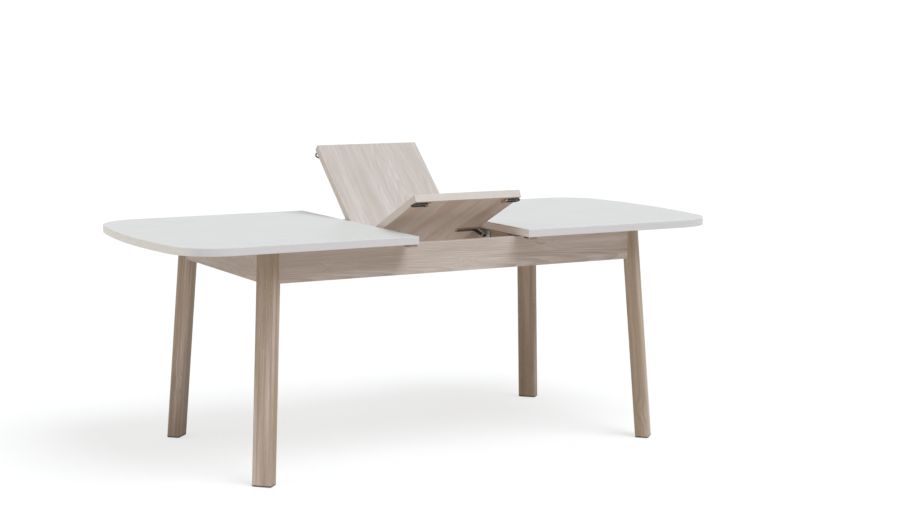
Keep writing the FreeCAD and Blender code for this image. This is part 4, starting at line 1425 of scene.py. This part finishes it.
@dataclass
class Fasteners(Assembly):
    """Screws with cross recesses, threaded bolts, chamfered nuts, washers and angles."""

    spread_turn: float = 2.4
    sharp: float = math.radians(32.0)
    plain: tuple[str, ...] = ("hanger_washers", "rail_angles")
    zinc_screws: tuple[str, ...] = (
        "block_screws",
        "channel_screws",
        *(f"{side}_{use}_screws" for use in ("runner", "socket") for side in SIDES),
        "plate_screws",
        "rail_screws",
        *(f"hinge_{end}_screws" for end in ENDS),
    )

    def axis(self, name: str, points: list[Vector]) -> Vector:
        """Finds a fastener's axis: known for nuts and bolts, the longest spread for screws.

        Args:
            name: its node.
            points: the points of its solid.

        Returns:
            A unit vector along it.
        """
        middle = sum(points, Vector()) / len(points)
        sx, sy = math.copysign(1.0, middle.x), math.copysign(1.0, middle.y)
        if name.startswith("hanger"):
            return Vector((sx, sy, 0.0)).normalized()
        if name == "pivot_nuts":
            return Vector((sx, 0.0, 0.0))
        spread = Matrix.Diagonal((0.0, 0.0, 0.0))
        for point in points:
            away = point - middle
            spread += Matrix([[first * second for second in away] for first in away])
        way = AXIS_START
        for _ in range(AXIS_ROUNDS):
            way = (spread @ way).normalized()
        return way

    def spin(self, seat: Seat, kind: Kind, number: int, points: list[Vector]) -> float:
        """Gives the turn of a fastener: that of its solid for a nut, its own for the rest.

        Args:
            seat: its sizes and place.
            kind: what it is.
            number: its number in the node.
            points: the points of its solid.

        Returns:
            The angle about its axis.
        """
        if kind is not Kind.NUTS:
            return number * self.spread_turn
        upright = seat.place(0.0).inverted()
        corner = max((upright @ point for point in points), key=lambda spot: spot.xy.length)
        return math.atan2(corner.y, corner.x)

    def mesh(self, name: str, kind: Kind) -> bpy.types.Mesh:
        """Makes the detailed mesh of a fastener node.

        Args:
            name: the node.
            kind: what it holds.

        Returns:
            The mesh, with every fastener in its place.
        """
        whole = bmesh.new()
        for number, points in enumerate(solids_of(name)):
            seat = measure(points, self.axis(name, points))
            form = kind.value.form(seat)
            place = seat.place(self.spin(seat, kind, number, points))
            bmesh.ops.transform(form, matrix=place, verts=form.verts)
            part = bpy.data.meshes.new(name)
            form.to_mesh(part)
            form.free()
            whole.from_mesh(part)
            bpy.data.meshes.remove(part)
        mesh = bpy.data.meshes.new(f"{name}_detail")
        whole.to_mesh(mesh)
        whole.free()
        mesh.shade_smooth()
        mesh.set_sharp_from_angle(angle=self.sharp)
        return mesh

    def stand_in(self, name: str, kind: Kind, finish: Finish, slot: str) -> None:
        """Replaces a fastener node with its detailed form.

        Args:
            name: the node.
            kind: what it holds.
            finish: its finish.
            slot: the record's slot for it; not used.
        """
        mesh = self.mesh(name, kind)
        piece = bpy.data.objects.new(f"{name}_detail", mesh)
        bpy.context.scene.collection.objects.link(piece)
        lie = straight(name, Direction.X, Direction.Z)
        mesh.materials.append(finish.material(name, lie, self.effects))
        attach(piece, frame["nodes"][name]["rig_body"])
        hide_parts(name)
        log.info("made %s with %d faces", piece.name, len(mesh.polygons))

    def dress(self) -> None:
        """Makes the detailed fasteners and dresses the plain ones."""
        self.coat_straight(self.plain, ZINC_STEEL, Direction.X, Direction.Z)
        for name in self.zinc_screws:
            self.stand_in(name, Kind.SCREWS, ZINC_STEEL, "zinc_steel")
        self.stand_in("arm_screws", Kind.SCREWS, DARK_ZINC, "zinc_steel")
        for name in (f"saddle_screws_{end}" for end in ENDS):
            self.stand_in(name, Kind.SCREWS, SADDLE_STEEL, "dark_steel")
        self.stand_in("hanger_bolts", Kind.BOLTS, ZINC_STEEL, "zinc_steel")
        for name in ("hanger_nuts", "pivot_nuts"):
            self.stand_in(name, Kind.NUTS, ZINC_STEEL, "zinc_steel")


@dataclass(frozen=True)
class Lamp:
    """A broad soft lamp far away."""

    name: str
    source: Vector
    strength: float
    spread: float
    colour: Colour


FRONT_LAMP = Lamp(
    "front_lamp",
    source=Vector((0.27, -0.577, 1.0)),
    strength=2.0,
    spread=math.radians(36.0),
    colour=(0.95, 1.0, 1.04),
)
LEFT_FILL = Lamp(
    "left_fill",
    source=Vector((-1.0, 0.05, 0.35)),
    strength=0.5,
    spread=math.radians(70.0),
    colour=WHITE,
)


@dataclass
class Studio:
    """Floor, soft light and the camera at the photograph's angle.

    To the eye the floor is part reflected light, which takes the shadow, and part glow; the two
    add up to floor_white.
    """

    eye: Vector = field(default_factory=lambda: Vector((-2.809941, -5.324118, 1.409707)))
    yaw: float = math.radians(29.1)
    pitch: float = math.radians(-7.321)
    roll: float = math.radians(0.232)
    focal_pixels: float = 1785.031
    image_width: float = 900.0
    sensor: float = 36.0
    floor_half: float = 60.0
    floor_share: float = 0.35
    floor_white: float = 1.03
    pale_floor: Colour = (0.76, 0.69, 0.63)
    low_sky: Colour = (0.24, 0.235, 0.23)
    high_sky: Colour = (0.6, 0.6, 0.6)
    lamps: tuple[Lamp, ...] = (FRONT_LAMP, LEFT_FILL)

    def show_white(self, graph: Graph) -> Socket:
        """Gives 1 for rays that see the background and 0 for rays that light the object."""
        rays = graph.add("ShaderNodeLightPath").outputs
        seen = graph.math("MAXIMUM", rays["Is Camera Ray"], rays["Is Glossy Ray"])
        return graph.math("MAXIMUM", seen, rays["Is Transmission Ray"])

    def make_world(self) -> None:
        """Makes the world: white to the eye, and as light brighter overhead than at the horizon."""
        world = bpy.data.worlds.new("studio")
        world.use_nodes = True
        graph = Graph(world.node_tree)
        height = graph.parts(graph.add("ShaderNodeTexCoord").outputs["Generated"])[2]
        above = graph.math("MAXIMUM", height, 0.0)
        sky = graph.mix(graph.product(above, above), self.low_sky, self.high_sky)
        back = found(world.node_tree, "BACKGROUND")
        graph.feed(back.inputs["Color"], graph.mix(self.show_white(graph), sky, WHITE))
        bpy.context.scene.world = world

    def make_floor(self) -> None:
        """Makes the pale floor, which keeps the table's shadow."""
        mesh = bpy.data.meshes.new("floor")
        form = bmesh.new()
        bmesh.ops.create_grid(form, x_segments=1, y_segments=1, size=self.floor_half)
        form.to_mesh(mesh)
        form.free()
        floor = bpy.data.objects.new("floor", mesh)
        bpy.context.scene.collection.objects.link(floor)
        made = bpy.data.materials.new("floor")
        made.use_nodes = True
        graph = Graph(made.node_tree)
        seen = self.show_white(graph)
        shown = (self.floor_share,) * 3
        glow = (self.floor_white - self.floor_share,) * 3
        settings = {
            "Base Color": graph.mix(seen, self.pale_floor, shown),
            "Emission Color": graph.mix(seen, BLACK, glow),
            "Emission Strength": 1.0,
            "Roughness": 1.0,
            "Specular IOR Level": 0.0,
        }
        shader = found(made.node_tree, "BSDF_PRINCIPLED")
        for name, source in settings.items():
            graph.feed(shader.inputs[name], source)
        mesh.materials.append(made)

    def make_lamp(self, lamp: Lamp) -> None:
        """Adds one lamp.

        Args:
            lamp: where it is and how strong.
        """
        light = bpy.data.lights.new(lamp.name, "SUN")
        light.energy = lamp.strength
        light.color = lamp.colour
        light.angle = lamp.spread
        holder = bpy.data.objects.new(lamp.name, light)
        holder.matrix_world = lamp.source.to_track_quat("Z", "Y").to_matrix().to_4x4()
        bpy.context.scene.collection.objects.link(holder)

    def make_camera(self) -> None:
        """Sets the camera where the photograph was taken."""
        flat = math.cos(self.pitch)
        forward = Vector(
            (math.sin(self.yaw) * flat, math.cos(self.yaw) * flat, math.sin(self.pitch))
        )
        level = Vector((math.cos(self.yaw), -math.sin(self.yaw), 0.0))
        upright = level.cross(forward)
        right = level * math.cos(self.roll) + upright * math.sin(self.roll)
        above = upright * math.cos(self.roll) - level * math.sin(self.roll)
        turn = Matrix((right, above, -forward)).transposed().to_4x4()
        lens = bpy.data.cameras.new("camera")
        lens.sensor_width = self.sensor
        lens.lens = self.focal_pixels * self.sensor / self.image_width
        camera = bpy.data.objects.new("camera", lens)
        camera.matrix_world = Matrix.Translation(self.eye) @ turn
        bpy.context.scene.collection.objects.link(camera)
        bpy.context.scene.camera = camera

    def build(self) -> None:
        """Sets up the whole studio."""
        bpy.context.scene.view_settings.view_transform = "Standard"
        self.make_world()
        self.make_floor()
        for lamp in self.lamps:
            self.make_lamp(lamp)
        self.make_camera()


def main() -> None:
    """Dresses the table and sets up the studio."""
    logging.basicConfig(level=logging.INFO, format="%(message)s")
    effects = SharedEffects()
    assemblies = [Base(effects), SlideGear(effects), Leaf(effects), Fasteners(effects)]
    assemblies += [TopHalf(effects, side) for side in SIDES]
    for assembly in assemblies:
        assembly.dress()
    Studio().build()


if __name__ == "__main__":
    main()
